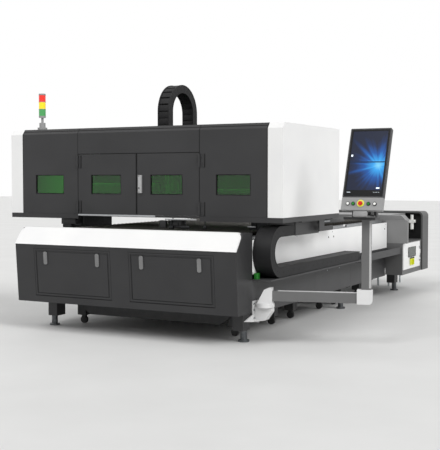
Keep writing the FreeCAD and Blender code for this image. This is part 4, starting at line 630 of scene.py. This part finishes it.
def archChain():
    low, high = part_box("arch_chain")
    middle = (low.x + high.x) / 2
    width = high.x - low.x
    gauge = chainLook["archGauge"]
    radius = (high.y - low.y - gauge) / 2
    crown = high.z - gauge / 2 - radius
    front = low.y + gauge / 2
    rear = high.y - gauge / 2
    centre = Vector((0, front + radius, crown))
    legCount = round((crown - low.z) / chainLook["archPitch"])
    crownCount = round(math.pi * radius / chainLook["archPitch"])
    up = straightPoints(Vector((0, front, low.z)), Vector((0, front, crown)), legCount)
    down = straightPoints(Vector((0, rear, crown)), Vector((0, rear, low.z)), legCount)
    smooth = up + arcPoints(centre, radius, 180, 0, crownCount * chainLook["archSteps"])[1:] + down[1:]
    linked = up + arcPoints(centre, radius, 180, 0, crownCount)[1:] + down[1:]
    mesh = bmesh.new()
    addChain(mesh, smooth, linked, middle, width, gauge, chainLook["archGap"])
    arch = makePiece("archChain", mesh, "chain_nylon", None)
    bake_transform(arch)
    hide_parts("arch_chain")


sideChain()
archChain()
print("energy chains linked")

hood = {
    "doorHalf": 766,
    "doorBottom": 1258,
    "doorTop": 1912,
    "headerTop": 2141,
    "bevelDepth": 45,
    "bevelTop": 2198,
    "capSeam": 1533,
    "rear": 1545,
    "windowHalf": 196,
    "windowZs": (1475, 1687),
    "fixedWindows": (-1154, 1154),
    "leftWindow": -393,
    "rightWindow": 370,
    "hingeLows": (1266.5, 1761.5),
    "knuckleStep": 45.5,
}
bevelTilt = -math.degrees(math.atan2(hood["bevelDepth"], hood["bevelTop"] - hood["headerTop"]))
bevelTurn = tilted(bevelTilt, at(0, 0, hood["headerTop"]))
bevelRun = math.hypot(hood["bevelDepth"], hood["bevelTop"] - hood["headerTop"])

hoodSeam = {
    "depths": (-1.5, 1),
    "shallow": (-1.2, 1),
    "capWidths": (5, 9),
    "doorWidths": (3, 7),
    "header": 5,
    "fold": 9,
    "foldShare": 0.45,  # how far up the bevel the fold lies
}


def hoodSeams():
    # dark joints between the hood's panels, over the bevel as well
    mesh = bmesh.new()
    cap, door = hood["capSeam"], hood["doorHalf"]
    for half, widths, low in ((cap, hoodSeam["capWidths"], hood["doorBottom"]),
                              (door, hoodSeam["doorWidths"], hood["doorTop"])):
        for side, width in zip((-1, 1), widths):
            xs = (side * half - width / 2, side * half + width / 2)
            slab(mesh, xs, hoodSeam["depths"], (low, hood["headerTop"] + 1))
            addTilted(mesh, bevelTurn, (xs, hoodSeam["depths"], (0, bevelRun - 1)))
    top = hood["doorTop"]
    slab(mesh, (-door, door), hoodSeam["shallow"], (top, top + hoodSeam["header"]))
    rise = hoodSeam["foldShare"] * bevelRun
    addTilted(mesh, bevelTurn, ((-cap, cap), hoodSeam["shallow"], (rise, rise + hoodSeam["fold"])))
    makePiece("hoodSeams", mesh, "charcoal_paint", "gantry", sealRubber)


doorSeal = {
    "near": (7, (-1.5, 1)),
    "far": (3, (-1, 1)),
    "zs": (hood["doorBottom"] + 2, hood["doorTop"] - 4),
}


def doorSeals(name, body, near, far):
    # rubber at the meeting edge of a hood door and a thinner strip at its hinged edge
    mesh = bmesh.new()
    width, ys = doorSeal["near"]
    slab(mesh, sorted((near, near + math.copysign(width, near))), ys, doorSeal["zs"])
    width, ys = doorSeal["far"]
    slab(mesh, sorted((far, far - math.copysign(width, far))), ys, doorSeal["zs"])
    makePiece(name, mesh, "charcoal_paint", body, sealRubber)


windowSeal = {
    "lip": ((-1, 3), 3, 0.5),
    "reveal": ((3, 12), 8),
}


def windowSeals(name, body, centres):
    # black glazing rubber in the reveal of each window, with a rounded lip on the face
    mesh = bmesh.new()
    for x in centres:
        xs = (x - hood["windowHalf"], x + hood["windowHalf"])
        for ys, *shape in (windowSeal["lip"], windowSeal["reveal"]):
            addSurround(mesh, xs, ys, hood["windowZs"], *shape)
    makePiece(name, mesh, "charcoal_paint", body, sealRubber)


hingeScrew = {
    "rises": (11, 34),
    "middleY": -3.8,
    "dome": (5 * mm, 1.8 * mm, "y", 12, 3.5 * mm),
    "slotHalf": (3, 0.6),
    "slotYs": (-5, -4.5),
}


def hingeScrews(name, body, sides, straps, inset):
    # slotted dome-head screws, two to each strap
    mesh = bmesh.new()
    slotX, slotZ = hingeScrew["slotHalf"]
    for side in sides:
        x = side * (hood["doorHalf"] + inset)
        for low in hood["hingeLows"]:
            for strap in straps:
                for rise in hingeScrew["rises"]:
                    z = low + strap * hood["knuckleStep"] + rise
                    addRod(mesh, at(x, hingeScrew["middleY"], z), *hingeScrew["dome"])
                    slab(mesh, (x - slotX, x + slotX), hingeScrew["slotYs"], (z - slotZ, z + slotZ))
    makePiece(name, mesh, "charcoal_paint", body, phosphatedSteel)


# black strips that stand in for the shadow each hinge strap throws
hingeShadow = {
    "width": 11,
    "ys": (-3, 1),
    "top": 137,
    "foot": ((-12, 7), (-2, 1), (-5, -1)),
}


def hingeShadowStrips(name, body, edge):
    # a black upright strip painted as the shadow beside a hinge strap, and a short black strip painted as the
    # shadow under it
    mesh = bmesh.new()
    footX, footYs, footZ = hingeShadow["foot"]
    for low in hood["hingeLows"]:
        slab(mesh, (edge, edge + hingeShadow["width"]), hingeShadow["ys"], (low - 1, low + hingeShadow["top"]), 1)
        slab(mesh, (edge + footX[0], edge + footX[1]), footYs, (low + footZ[0], low + footZ[1]))
    makePiece(name, mesh, "charcoal_paint", body, sealRubber)


sill = {
    "strips": (((-764, 232), (-4, 1), (1238, 1256), 1), ((352, 732), (-3, 1), (1214, 1227), 1)),
    "screwXs": range(-740, 230, 120),
    "screwPlace": (-4.6, 1247),
    "screw": (4 * mm, 1.6 * mm, "y", 12),
}


def sillBars():
    # ground steel guide strips along the lower rail
    mesh = blocks(sill["strips"])
    for x in sill["screwXs"]:
        addRod(mesh, at(x, *sill["screwPlace"]), *sill["screw"])
    makePiece("sillStrips", mesh, "machined_steel", "gantry")


underRail = {
    "railLow": 1206,
    "brackets": (
        ((-1020, -826), (30, 110), (1139, 1206), 4),
        ((269, 343), (26, 60), (1123, 1206), 3),
        ((355, 526), (60, 130), (1128, 1206), 3),
        ((400, 480), (50, 60), (1150, 1184), 2),
    ),
    "valveRim": ((362, 519), (54, 61), (1134, 1200), 8, 1),
    "connectors": (((380, 429), (1114, 1150)), ((526, 623), (1119, 1154)), ((789, 824), (1124, 1160))),
    "connectorYs": (30, 58),
    "stemHalf": 6,
    "stemYs": (40, 50),
    "wipers": (
        ((-1238, -1167), (312, 331), (1142, 1158), 2),
        ((1160, 1252), (312, 331), (1136, 1154), 2),
    ),
}


def underHood():
    # brackets, the valve box and the wipers that hang below the lower rail, above the slat tips
    mesh = blocks(underRail["brackets"])
    addSurround(mesh, *underRail["valveRim"])
    makePiece("underRailBrackets", mesh, "charcoal_paint", "gantry")

    small = bmesh.new()
    half = underRail["stemHalf"]
    for xs, zs in underRail["connectors"]:
        slab(small, xs, underRail["connectorYs"], zs, 3)
        middle = sum(xs) / 2
        slab(small, (middle - half, middle + half), underRail["stemYs"],
             (zs[1] - 2, underRail["railLow"]), 1)
    makePiece("fieldConnectors", small, "charcoal_paint", "gantry", phosphatedSteel)
    makePiece("railWipers", blocks(underRail["wipers"]), "machined_steel", "gantry")


insideHood = {
    "pleatXs": range(-1470, -190, 26),
    "pleat": ((-1.2, 1.2), (-45, 0), (0, 115)),
    "pleatAngle": 15,
    "pleatPlace": (778, 1478),
    "pleatBack": ((-1480, -190), (760, 781), (1480, 1590), 2),
    "rail": (
        ((170, 1480), (756, 782), (1500, 1520), 2),
        ((170, 1480), (770, 782), (1488, 1532), 1),
    ),
    "loop": (
        ((88, 97), (436, 449), (1590, 1712), 3),
        ((121, 130), (436, 449), (1590, 1712), 3),
        ((88, 130), (436, 449), (1582, 1592), 3),
    ),
}


def hoodInside():
    # seen through the windows: pleated bellows, the bare cross rail on the other side, and a
    # sensor loop on the head
    pleats = bmesh.new()
    for x in insideHood["pleatXs"]:
        for side in (-1, 1):
            turn = Matrix.Rotation(side * math.radians(insideHood["pleatAngle"]), 4, "Z")
            addTilted(pleats, Matrix.Translation(at(x, *insideHood["pleatPlace"])) @ turn,
                      insideHood["pleat"])
    slab(pleats, *insideHood["pleatBack"])
    bellows = makePiece("railBellows", pleats, "handle_grey", None, bellowsCloth)
    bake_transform(bellows)
    makePiece("crossRail", blocks(insideHood["rail"]), "machined_steel", "gantry", bellowsCloth)
    makePiece("sensorLoop", blocks(insideHood["loop"]), "white_paint", "head", bellowsCloth)


shelf = {
    "tray": (
        ((1470, 1642), (1152, 1880), (1147, 1152), 1),
        ((1638, 1642), (1152, 1880), (1147, 1196), 1),
        ((1470, 1474), (1152, 1880), (1147, 1196), 1),
    ),
    "lugs": tuple(((1620, 1640), (y, y + 24), (1150, 1206), 1) for y in (1160, 1330, 1500)),
    "plate": ((1641, 1644), (1190, 1420), (1166, 1182), 1),
}


def cableShelf():
    # tray that carries the cables behind the right carriage, hung from the lower rail
    makePiece("cableShelf", blocks(shelf["tray"] + shelf["lugs"]), "grey_paint", "gantry",
              phosphatedSteel)
    makePiece("shelfPlate", blocks([shelf["plate"]]), "zinc_steel", "gantry", screwZinc)


louvreRow = {"pitch": 27, "lean": -18, "out": 2}


def addLouvres(mesh, middle, wall, low, count, louvre):
    # pressed louvres that stand off a rear wall
    for i in range(count):
        foot = at(middle, wall + louvreRow["out"], low + i * louvreRow["pitch"])
        addTilted(mesh, tilted(louvreRow["lean"], foot), louvre)


hoodVent = {
    "middles": (-760, 760),
    "half": 260,
    "zs": (1560, 1900),
    "frame": 18,
    "louvres": (1590, 11, ((-235, 235), (-4, 6), (0, 18), 2)),
}


def hoodBack():
    # louvred vents on the hood's closed rear wall
    mesh = bmesh.new()
    rear = hood["rear"]
    half = hoodVent["half"]
    for middle in hoodVent["middles"]:
        addSurround(mesh, (middle - half, middle + half), (rear - 1, rear + 5), hoodVent["zs"],
                    hoodVent["frame"], 1)
        addLouvres(mesh, middle, rear, *hoodVent["louvres"])
    makePiece("hoodVents", mesh, "charcoal_paint", "gantry")


grip = {
    "lockHeight": 1.545,
    "lock": (8 * mm, 2.4 * mm, "y", 20),
    "keySlot": ((-1.2, 1.2), (-3, -1.9), (-5, 5)),
    "screwHeights": (1.502, 1.672),
    "screw": (5 * mm, 1.6 * mm, "y", 14),
}


def doorLock():
    # key lock and two screws on the pull grip
    mesh = bmesh.new()
    low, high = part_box("door_grip")
    face = Vector(((low.x + high.x) / 2, low.y, 0))
    lock = face + Vector((0, 0, grip["lockHeight"]))
    addRod(mesh, lock + Vector((0, -0.8 * mm, 0)), *grip["lock"])
    addTilted(mesh, Matrix.Translation(lock), grip["keySlot"])
    for z in grip["screwHeights"]:
        addRod(mesh, face + Vector((0, -0.4 * mm, z)), *grip["screw"])
    makePiece("gripLock", mesh, "handle_grey", "right_hood_leaf", sealRubber)


towerCollar = {"shares": (0, 1 / 3, 2 / 3, 1), "height": 5 * mm, "inside": 1 * mm, "proud": 1.5 * mm}


def towerCollars():
    # grey collars between the lenses
    mesh = bmesh.new()
    low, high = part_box("tower_lenses")
    middle = (low + high) / 2
    radius = (high.x - low.x) / 2
    for share in towerCollar["shares"]:
        z = low.z + (high.z - low.z) * share - towerCollar["height"] / 2
        addCollar(mesh, Matrix.Translation((middle.x, middle.y, z)), radius - towerCollar["inside"],
                  radius + towerCollar["proud"], towerCollar["height"])
    makePiece("towerCollars", mesh, "black_plastic", "gantry")


hoodSeams()
doorSeals("leftDoorSeals", "left_hood_leaf", -2, -764)
doorSeals("rightDoorSeals", "right_hood_leaf", 2, 764)
windowSeals("fixedWindowSeals", "gantry", hood["fixedWindows"])
windowSeals("leftWindowSeal", "left_hood_leaf", (hood["leftWindow"],))
windowSeals("rightWindowSeal", "right_hood_leaf", (hood["rightWindow"],))
hingeScrews("fixedHingeScrews", "gantry", (-1, 1), (0, 2), 24)
hingeScrews("leftHingeScrews", "left_hood_leaf", (-1,), (1,), -26)
hingeScrews("rightHingeScrews", "right_hood_leaf", (1,), (1,), -26)
hingeShadowStrips("leftHingeShadow", "left_hood_leaf", -728)
hingeShadowStrips("rightHingeShadow", "gantry", 822)
sillBars()
underHood()
hoodInside()
cableShelf()
hoodBack()
doorLock()
towerCollars()
print("hood dressed")

slatBed = {
    "count": 47,
    "thickness": 5,
    "toothPitch": 36,
    "toothDepth": 16,
}


def supportSlats():
    # flame-cut saw-tooth slats, closer together than the solids show
    low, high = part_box("support_slats")
    teeth = round((high.x - low.x) / mm / slatBed["toothPitch"])
    half = slatBed["thickness"] / 2 * mm
    mesh = bmesh.new()
    for i in range(slatBed["count"]):
        y = low.y + half + (high.y - low.y - 2 * half) * i / (slatBed["count"] - 1)
        rings = []
        for k in range(teeth * 2 + 1):
            x = low.x + (high.x - low.x) * k / (teeth * 2)
            top = high.z if k % 2 else high.z - slatBed["toothDepth"] * mm
            rings.append([mesh.verts.new((x, y + side * half, z)) for side, z in
                          ((-1, low.z), (-1, top), (1, top), (1, low.z))])
        addSwept(mesh, rings)
    slats = makePiece("sawtoothSlats", mesh, "raw_steel", "base")
    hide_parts("support_slats")


supportSlats()
print("slats cut")

cabinet = {
    "lowFace": -413,
    "lowZ": 317,
    "lean": math.degrees(math.atan2(45, 625)),  # the face falls back 45 mm over 625 mm
    "doors": {"left": (-1018, -38), "right": (192, 1172)},
    "doorZs": (388.7, 898),
    "gap": (3, 3, (-0.8, 1), 3),  # out from the door's edges, down from its foot, depth, width
    "press": (-19, -30, (-1, 1), 2),
}
cabinetTurn = tilted(cabinet["lean"], at(0, cabinet["lowFace"], cabinet["lowZ"]))
cabinetRun = 1 / math.cos(math.radians(cabinet["lean"]))


def onCabinet(z):
    # how far up the leaning face a height lies
    return (z - cabinet["lowZ"]) * cabinetRun


def addDoorRing(mesh, xs, ring):
    # four strips round a drop door, or inside its edges where they go out by less than nothing
    out, down, ys, width = ring
    low, high = (onCabinet(z) for z in cabinet["doorZs"])
    band = bmesh.new()
    addSurround(band, (xs[0] - out, xs[1] + out), ys, (low - down, high + out), width, build=localSlab)
    addTurned(mesh, band, cabinetTurn)


def cabinetSeams():
    # dark gaps round both drop doors, and the pressed line inside each door's edge
    gaps = bmesh.new()
    for xs in cabinet["doors"].values():
        addDoorRing(gaps, xs, cabinet["gap"])
    makePiece("cabinetDoorGaps", gaps, "charcoal_paint", "base", sealRubber)
    for side, xs in cabinet["doors"].items():
        line = bmesh.new()
        addDoorRing(line, xs, cabinet["press"])
        makePiece(side + "DoorPressLine", line, "charcoal_paint", side + "_cabinet_leaf", sealRubber)


longSides = {
    "faces": ((1418, 1), (-1268, -1)),
    "plugs": ((1955, 2119, 4065), 955, 0.8, 11 * mm, 2 * mm, 16),
    "bolts": ((1912, 2309), 567, 2, 9 * mm, 5 * mm, 6),
    "screws": ((-60, 1010, 2080, 3150, 4120), 1014, 1, 6 * mm, 3 * mm, 12),
    "hook": ((1418, 1420), (2440, 2506), (1062, 1084), 0.8),
    "pad": ((1418, 1420.5), (2506, 2560), (1052, 1076), 1),
}


def sideDetails():
    # rubber plugs and screws on both long sides, and a hook on the right one
    plugs = bmesh.new()
    screws = bmesh.new()
    for face, way in longSides["faces"]:
        for mesh, kind in ((plugs, "plugs"), (screws, "bolts"), (screws, "screws")):
            ys, z, out, radius, length, sides = longSides[kind]
            for y in ys:
                addRod(mesh, at(face + way * out, y, z), radius, length, "x", sides)
    makePiece("sidePlugs", plugs, "chain_nylon", "base", sealRubber)
    makePiece("sideScrews", screws, "zinc_steel", "base", screwZinc)
    makePiece("sideHook", blocks([longSides["hook"]]), "white_paint", "base")
    makePiece("hookPad", blocks([longSides["pad"]]), "chain_nylon", "base")


cabinetSeams()
sideDetails()
print("cabinet dressed")

controlFront = {
    "face": 1659,
    "display": ((4400, 4750), (546, 684)),
    "bezel": 5,
    "windowInset": 4,
    "switch": (4577, 474),
    "plateHole": 33 * mm,
    "plateHalf": 46,
    "plateReach": 95,
    "visor": (46, 60),
    "locks": (4960, (470, 660)),
    "lock": (13 * mm, 7 * mm, "x", 20),
    "lockSlot": (3, 9),
}


def displayGlass():
    # smoked acrylic over a grey meter face
    material, tree, shader, place = newFinish("smokedMeterAcrylic")
    tree.links.new(tintedNoise(tree, place, 70, ("#454a46", "#505551")), shader.inputs["Base Color"])
    haze = addNode(tree, "ShaderNodeTexNoise", {"Scale": patternScale(25)}, {"Vector": place})
    tree.links.new(spreadTo(tree, haze.outputs["Fac"], 0.12, 0.22), shader.inputs["Roughness"])
    setNode(shader, {"IOR": 1.49, "Specular IOR Level": 0.25})
    return material


def controlDetails():
    # the meter's bezel and window, the main switch's plate and visor, and two cam locks
    face = controlFront["face"]
    ys, zs = controlFront["display"]
    y, z = controlFront["switch"]
    half, reach = controlFront["plateHalf"], controlFront["plateReach"]
    proud = (face - 1, face + 7)
    bezel = bmesh.new()
    addSurround(bezel, ys, (face - 1, face + 5), zs, controlFront["bezel"], 1, crossSlab)
    slab(bezel, proud, (y - reach, y + reach), [z + rise for rise in controlFront["visor"]])
    makePiece("displayBezel", bezel, "black_plastic", "control_leaf", sealRubber)
    inset = controlFront["windowInset"]
    glass = blocks([((face - 1, face + 3), (ys[0] + inset, ys[1] - inset),
                     (zs[0] + inset, zs[1] - inset))])
    makePiece("displayWindow", glass, "black_plastic", "control_leaf", displayGlass())

    plate = bmesh.new()
    turn = Matrix.Translation(at(face + 4, y, z)) @ axisTurns["x"]
    addCollar(plate, turn, controlFront["plateHole"], half * mm, 3 * mm, 48, square=True)
    for side in (-1, 1):
        slab(plate, proud, sorted((y + side * (half - 1), y + side * reach)), (z - half, z + half))
    makePiece("switchPlate", plate, "white_paint", "control_leaf", limeYellow)

    lock = bmesh.new()
    y, heights = controlFront["locks"]
    slotHalf, slotRise = controlFront["lockSlot"]
    for z in heights:
        addRod(lock, at(face + 3, y, z), *controlFront["lock"])
        slab(lock, (face + 6, face + 8), (y - slotHalf, y + slotHalf), (z - slotRise, z + slotRise))
    makePiece("controlLocks", lock, "zinc_steel", "control_leaf", screwZinc)


rearBay = {
    "panels": tuple((xs, (3588, 4164), (302, 684)) for xs in ((1392, 1396), (-1246, -1242))),
    # a black sheet at the back of the housing's niche, painted shade
    "niche": ((-1481, 1631), (5157, 5161), (770, 1138)),
}


def bayPanels():
    # dark panels behind the recess in the skirts at the rear, and a black sheet painted as the shade inside the
    # housing's niche
    makePiece("bayPanels", blocks(rearBay["panels"]), "grey_paint", "base")
    makePiece("nicheShadeSheet", blocks([rearBay["niche"]]), "chain_nylon", "base", sealRubber)


rearWall = {
    "face": 5402,
    "ventLefts": (-1300, -250),
    "ventWidth": 640,
    "ventZs": (480, 1000),
    "ventFrame": 20,
    "louvres": (512, 17, ((-290, 290), (-4, 7), (0, 18), 2)),
    "glandXs": (1250, 1360),
    "glandZs": (470, 580),
    "gland": ((8, (30 * mm, 16 * mm, "y", 6)), (24, (23 * mm, 16 * mm, "y", 24, 19 * mm))),
}


def wallDetails():
    # louvred vents and cable glands on the unseen rear wall
    wall = rearWall["face"]
    vents = bmesh.new()
    width = rearWall["ventWidth"]
    for left in rearWall["ventLefts"]:
        addSurround(vents, (left, left + width), (wall - 1, wall + 5), rearWall["ventZs"],
                    rearWall["ventFrame"], 1)
        addLouvres(vents, left + width / 2, wall, *rearWall["louvres"])
    makePiece("rearVents", vents, "arm_paint", "base", housingShadedGrey)
    glands = bmesh.new()
    for z in rearWall["glandZs"]:
        for x in rearWall["glandXs"]:
            for out, rod in rearWall["gland"]:
                addRod(glands, at(x, wall + out, z), *rod)
    makePiece("cableGlands", glands, "chain_nylon", "base")


duct = {
    "bodyLow": 330 * mm,
    "flange": 12 * mm,
    "flangeDepth": 30 * mm,
    "lap": 1 * mm,
}


def ductFlanges():
    # angle-iron flanges at both ends and the middle of the exhaust duct
    mesh = bmesh.new()
    low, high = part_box("exhaust_duct")
    lap, out, depth = duct["lap"], duct["flange"], duct["flangeDepth"]
    left, right = low.x - out, high.x + out
    bodyLow = duct["bodyLow"]
    strips = (((left, right), (high.z - lap, high.z + out)),
              ((left, right), (bodyLow - out, bodyLow + lap)),
              ((left, low.x + lap), (bodyLow, high.z)),
              ((high.x - lap, right), (bodyLow, high.z)))
    for y in (low.y + lap, (low.y + high.y) / 2, high.y - depth - lap):
        for xs, zs in strips:
            addBlock(mesh, Vector((xs[0], y, zs[0])), Vector((xs[1], y + depth, zs[1])), lap)
    makePiece("ductFlanges", mesh, "galvanised_sheet", "base")


controlDetails()
bayPanels()
wallDetails()
ductFlanges()
print("rear dressed")

screen = {
    "lean": -20,
    "thickness": 3.6 * mm,
    "tall": 683,
    "border": 18,
    "footer": 44,
    "frontYs": (-1.2, -0.2),
    "ruleYs": (-0.8, -0.3),
    "markYs": (-1.6, -1.1),
    "footMarks": ((26, 62), (292, 300), (316, 324), (338, 346)),
    "footMarkRise": (20, 24),
    "leftMark": ((6, 24), (404, 424)),
    "rightMark": ((54, 22), (58, 72)),
    "rule": (342, 352),
}
leanSine = math.sin(math.radians(-screen["lean"]))
glassLow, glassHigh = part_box("monitor_glass")
glassTurn = tilted(screen["lean"], glassLow + Vector((0, 0, screen["thickness"] * leanSine)))
glassWide = (glassHigh.x - glassLow.x) / mm


def onScreen(name, mesh, finish):
    bmesh.ops.transform(mesh, matrix=glassTurn, verts=mesh.verts)
    makePiece(name, mesh, "screen_glass", "monitor", finish)


def screenPicture():
    # a made-up machine page: dark border, a rule across the middle and a few light marks
    border = screen["border"]
    right = glassWide - border
    dark = bmesh.new()
    addSurround(dark, (0, glassWide), screen["frontYs"], (0, screen["tall"]), border, build=localSlab)
    localSlab(dark, (border, right), screen["frontYs"], (border, border + screen["footer"]))
    onScreen("screenBorder", dark, screenBlack)
    marks = bmesh.new()
    for xs in screen["footMarks"]:
        localSlab(marks, xs, screen["markYs"], [border + rise for rise in screen["footMarkRise"]])
    xs, zs = screen["leftMark"]
    localSlab(marks, [border + x for x in xs], screen["ruleYs"], zs)
    xs, zs = screen["rightMark"]
    localSlab(marks, [right - x for x in xs], screen["ruleYs"], [border + z for z in zs])
    onScreen("screenMarks", marks, screenPale)
    rule = blocks([((border, right), screen["ruleYs"], screen["rule"])], localSlab)
    onScreen("screenRules", rule, screenNavy)


keyPanel = {
    "depth": 45 * mm,
    "keyRing": (13.6 * mm, 18.6 * mm, 8 * mm),
    "stopRing": (21.5 * mm, 34.5 * mm, 7.5 * mm),
    "hinge": ((124, 262), (10, 44), (-57, 1), 4),
    "hingeScrewXs": (140, 246),
    "hingeScrewPlace": (9.5, -28),
    "hingeScrew": (7 * mm, 2 * mm, "y", 16),
    "sleeveX": 262 * mm,
    "sleeve": (34 * mm, 40 * mm, "x", 32),
}
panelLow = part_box("key_panel")[0]
panelTurn = tilted(screen["lean"], panelLow + Vector((0, 0, keyPanel["depth"] * leanSine)))


def panelRings():
    # collars of the keys and the yellow disc under the stop button, standing on the panel's face
    facing = panelTurn.to_3x3().to_4x4() @ Matrix.Rotation(math.radians(90), 4, "X")
    outward = facing.to_3x3() @ Vector((0, 0, 1))
    base = panelTurn.translation

    def footOf(name):
        low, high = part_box(name)
        middle = (low + high) / 2
        return Matrix.Translation(middle - outward * (middle - base).dot(outward)) @ facing

    collars = bmesh.new()
    for name in ("key_white_left", "key_green_left", "key_green_right", "key_white_right"):
        addCollar(collars, footOf(name), *keyPanel["keyRing"])
    makePiece("keyCollars", collars, "zinc_steel", "monitor", sealRubber)
    disc = bmesh.new()
    addCollar(disc, footOf("emergency_stop"), *keyPanel["stopRing"])
    makePiece("stopDisc", disc, "panel_grey", "monitor", signalYellow)


def hingeBlock():
    # pale cast block that hangs the monitor on its tilting pin, and the sleeve on the pin
    block = blocks([keyPanel["hinge"]], localSlab)
    for x in keyPanel["hingeScrewXs"]:
        addRod(block, Vector((x, *keyPanel["hingeScrewPlace"])) * mm, *keyPanel["hingeScrew"])
    bmesh.ops.transform(block, matrix=panelTurn, verts=block.verts)
    makePiece("hingeBlock", block, "panel_grey", "monitor")
    sleeve = bmesh.new()
    pin = Vector(joints["monitor_tilt"]["pos_m"])
    addRod(sleeve, Vector((panelLow.x + keyPanel["sleeveX"], pin.y, pin.z)), *keyPanel["sleeve"])
    makePiece("tiltSleeve", sleeve, "panel_grey", "monitor")


swingArm = {
    "pivot": (1530, -35, 0),
    "angle": 15,
    # the two strips are painted highlights: one down the column's edge, one along the beam's top
    "covers": (((1017, 1035), (-32, -28.5), (590, 1240), 1), ((130, 915), (-31, 6), (539, 546), 1)),
    "bracketFace": 1432,
    "screwParts": ((3, (12 * mm, 8 * mm, "x", 20)), (5.5, (6 * mm, 4 * mm, "x", 6))),
    "bracketScrews": ((-88, 262), (-88, 345), (-88, 405), (12, 262), (12, 405)),
}


def armHighlightStrips():
    # pale strips painted as the highlight along the beam's top and down the column's edge
    covers = bmesh.new()
    turn = Matrix.Rotation(math.radians(swingArm["angle"]), 4, "Z")
    addTilted(covers, Matrix.Translation(at(*swingArm["pivot"])) @ turn, *swingArm["covers"])
    makePiece("armPaintedHighlights", covers, "arm_paint", "arm", highlightStripPaint)


def bracketDetails():
    # socket screws on the cast bracket's plate
    mesh = bmesh.new()
    face = swingArm["bracketFace"]
    for y, z in swingArm["bracketScrews"]:
        for out, rod in swingArm["screwParts"]:
            addRod(mesh, at(face + out, y, z), *rod)
    makePiece("bracketScrews", mesh, "zinc_steel", "base", screwZinc)


screenBlack = screenInk("screenBlack", "#07080a", 0.05)
screenPale = screenInk("screenPale", "#dfe9f2", 0.7)
screenNavy = screenInk("screenNavy", "#0b1a30", 0.4)
screenPicture()
panelRings()
hingeBlock()
armHighlightStrips()
bracketDetails()
print("console dressed")

cameraPlace = {
    "position": (5444, -8374, 1634),
    "pitchDown": 2.78,
    "turnLeft": 27.93,
    "focalPixels": 935,
    "imageHeight": 450,
    "sensor": 36,
    "farClip": 200,
}


def addCamera():
    data = bpy.data.cameras.new("photoView")
    camera = bpy.data.objects.new("photoView", data)
    bpy.context.scene.collection.objects.link(camera)
    camera.location = at(*cameraPlace["position"])
    camera.rotation_euler = (math.radians(90 - cameraPlace["pitchDown"]), 0,
                             math.radians(cameraPlace["turnLeft"]))
    data.sensor_width = cameraPlace["sensor"]
    data.lens = cameraPlace["focalPixels"] / cameraPlace["imageHeight"] * data.sensor_width
    data.clip_end = cameraPlace["farClip"]
    bpy.context.scene.camera = camera


floorLook = {
    "reach": 60,
    "patch": 900,
    "colours": ("#d9d9d8", "#dededd"),
    "roughness": 0.7,
}


def addFloor():
    # pale power-floated concrete that keeps the machine's shadow
    mesh = bmesh.new()
    bmesh.ops.create_grid(mesh, x_segments=1, y_segments=1, size=floorLook["reach"])
    data = bpy.data.meshes.new("floor")
    mesh.to_mesh(data)
    mesh.free()
    floor = bpy.data.objects.new("floor", data)
    bpy.context.scene.collection.objects.link(floor)
    material, tree, shader, place = newFinish("paleConcrete")
    colour = tintedNoise(tree, place, floorLook["patch"], floorLook["colours"])
    tree.links.new(colour, shader.inputs["Base Color"])
    shader.inputs["Roughness"].default_value = floorLook["roughness"]
    data.materials.append(material)


studioLight = {
    "ambient": 0.45,
    "frontSun": ((-0.12, -0.73, 0.67), 1.05, 25),
    "sideSun": ((0.8, -0.25, 0.6), 1.75, 30),
    "topSun": ((-0.85, -0.05, 0.55), 0.25, 20),
}


def addSun(name, fromPoint, strength, spread):
    data = bpy.data.lights.new(name, "SUN")
    data.energy = strength
    data.angle = math.radians(spread)
    lamp = bpy.data.objects.new(name, data)
    bpy.context.scene.collection.objects.link(lamp)
    lamp.rotation_euler = (-Vector(fromPoint)).to_track_quat("-Z", "Y").to_euler()


def addWorld():
    # plain studio: soft light all round, and the eye, metal and glass see a white room
    world = bpy.data.worlds.new("studio")
    bpy.context.scene.world = world
    world.use_nodes = True
    tree = world.node_tree
    background = tree.nodes["Background"]
    background.inputs["Color"].default_value = (1, 1, 1, 1)
    path = addNode(tree, "ShaderNodeLightPath")
    seen = addNode(tree, "ShaderNodeMath", {"operation": "MAXIMUM"},
                   {0: path.outputs["Is Camera Ray"], 1: path.outputs["Is Transmission Ray"]})
    shown = addNode(tree, "ShaderNodeMath", {"operation": "MAXIMUM"},
                    {0: seen.outputs[0], 1: path.outputs["Is Glossy Ray"]})
    strength = addNode(tree, "ShaderNodeMapRange", {"To Min": studioLight["ambient"], "To Max": 1.0},
                       {"Value": shown.outputs[0]})
    tree.links.new(strength.outputs["Result"], background.inputs["Strength"])


addCamera()
addFloor()
addWorld()
for lampName in ("frontSun", "sideSun", "topSun"):
    addSun(lampName, *studioLight[lampName])
bpy.context.scene.view_settings.view_transform = "Standard"
print("camera and studio set")
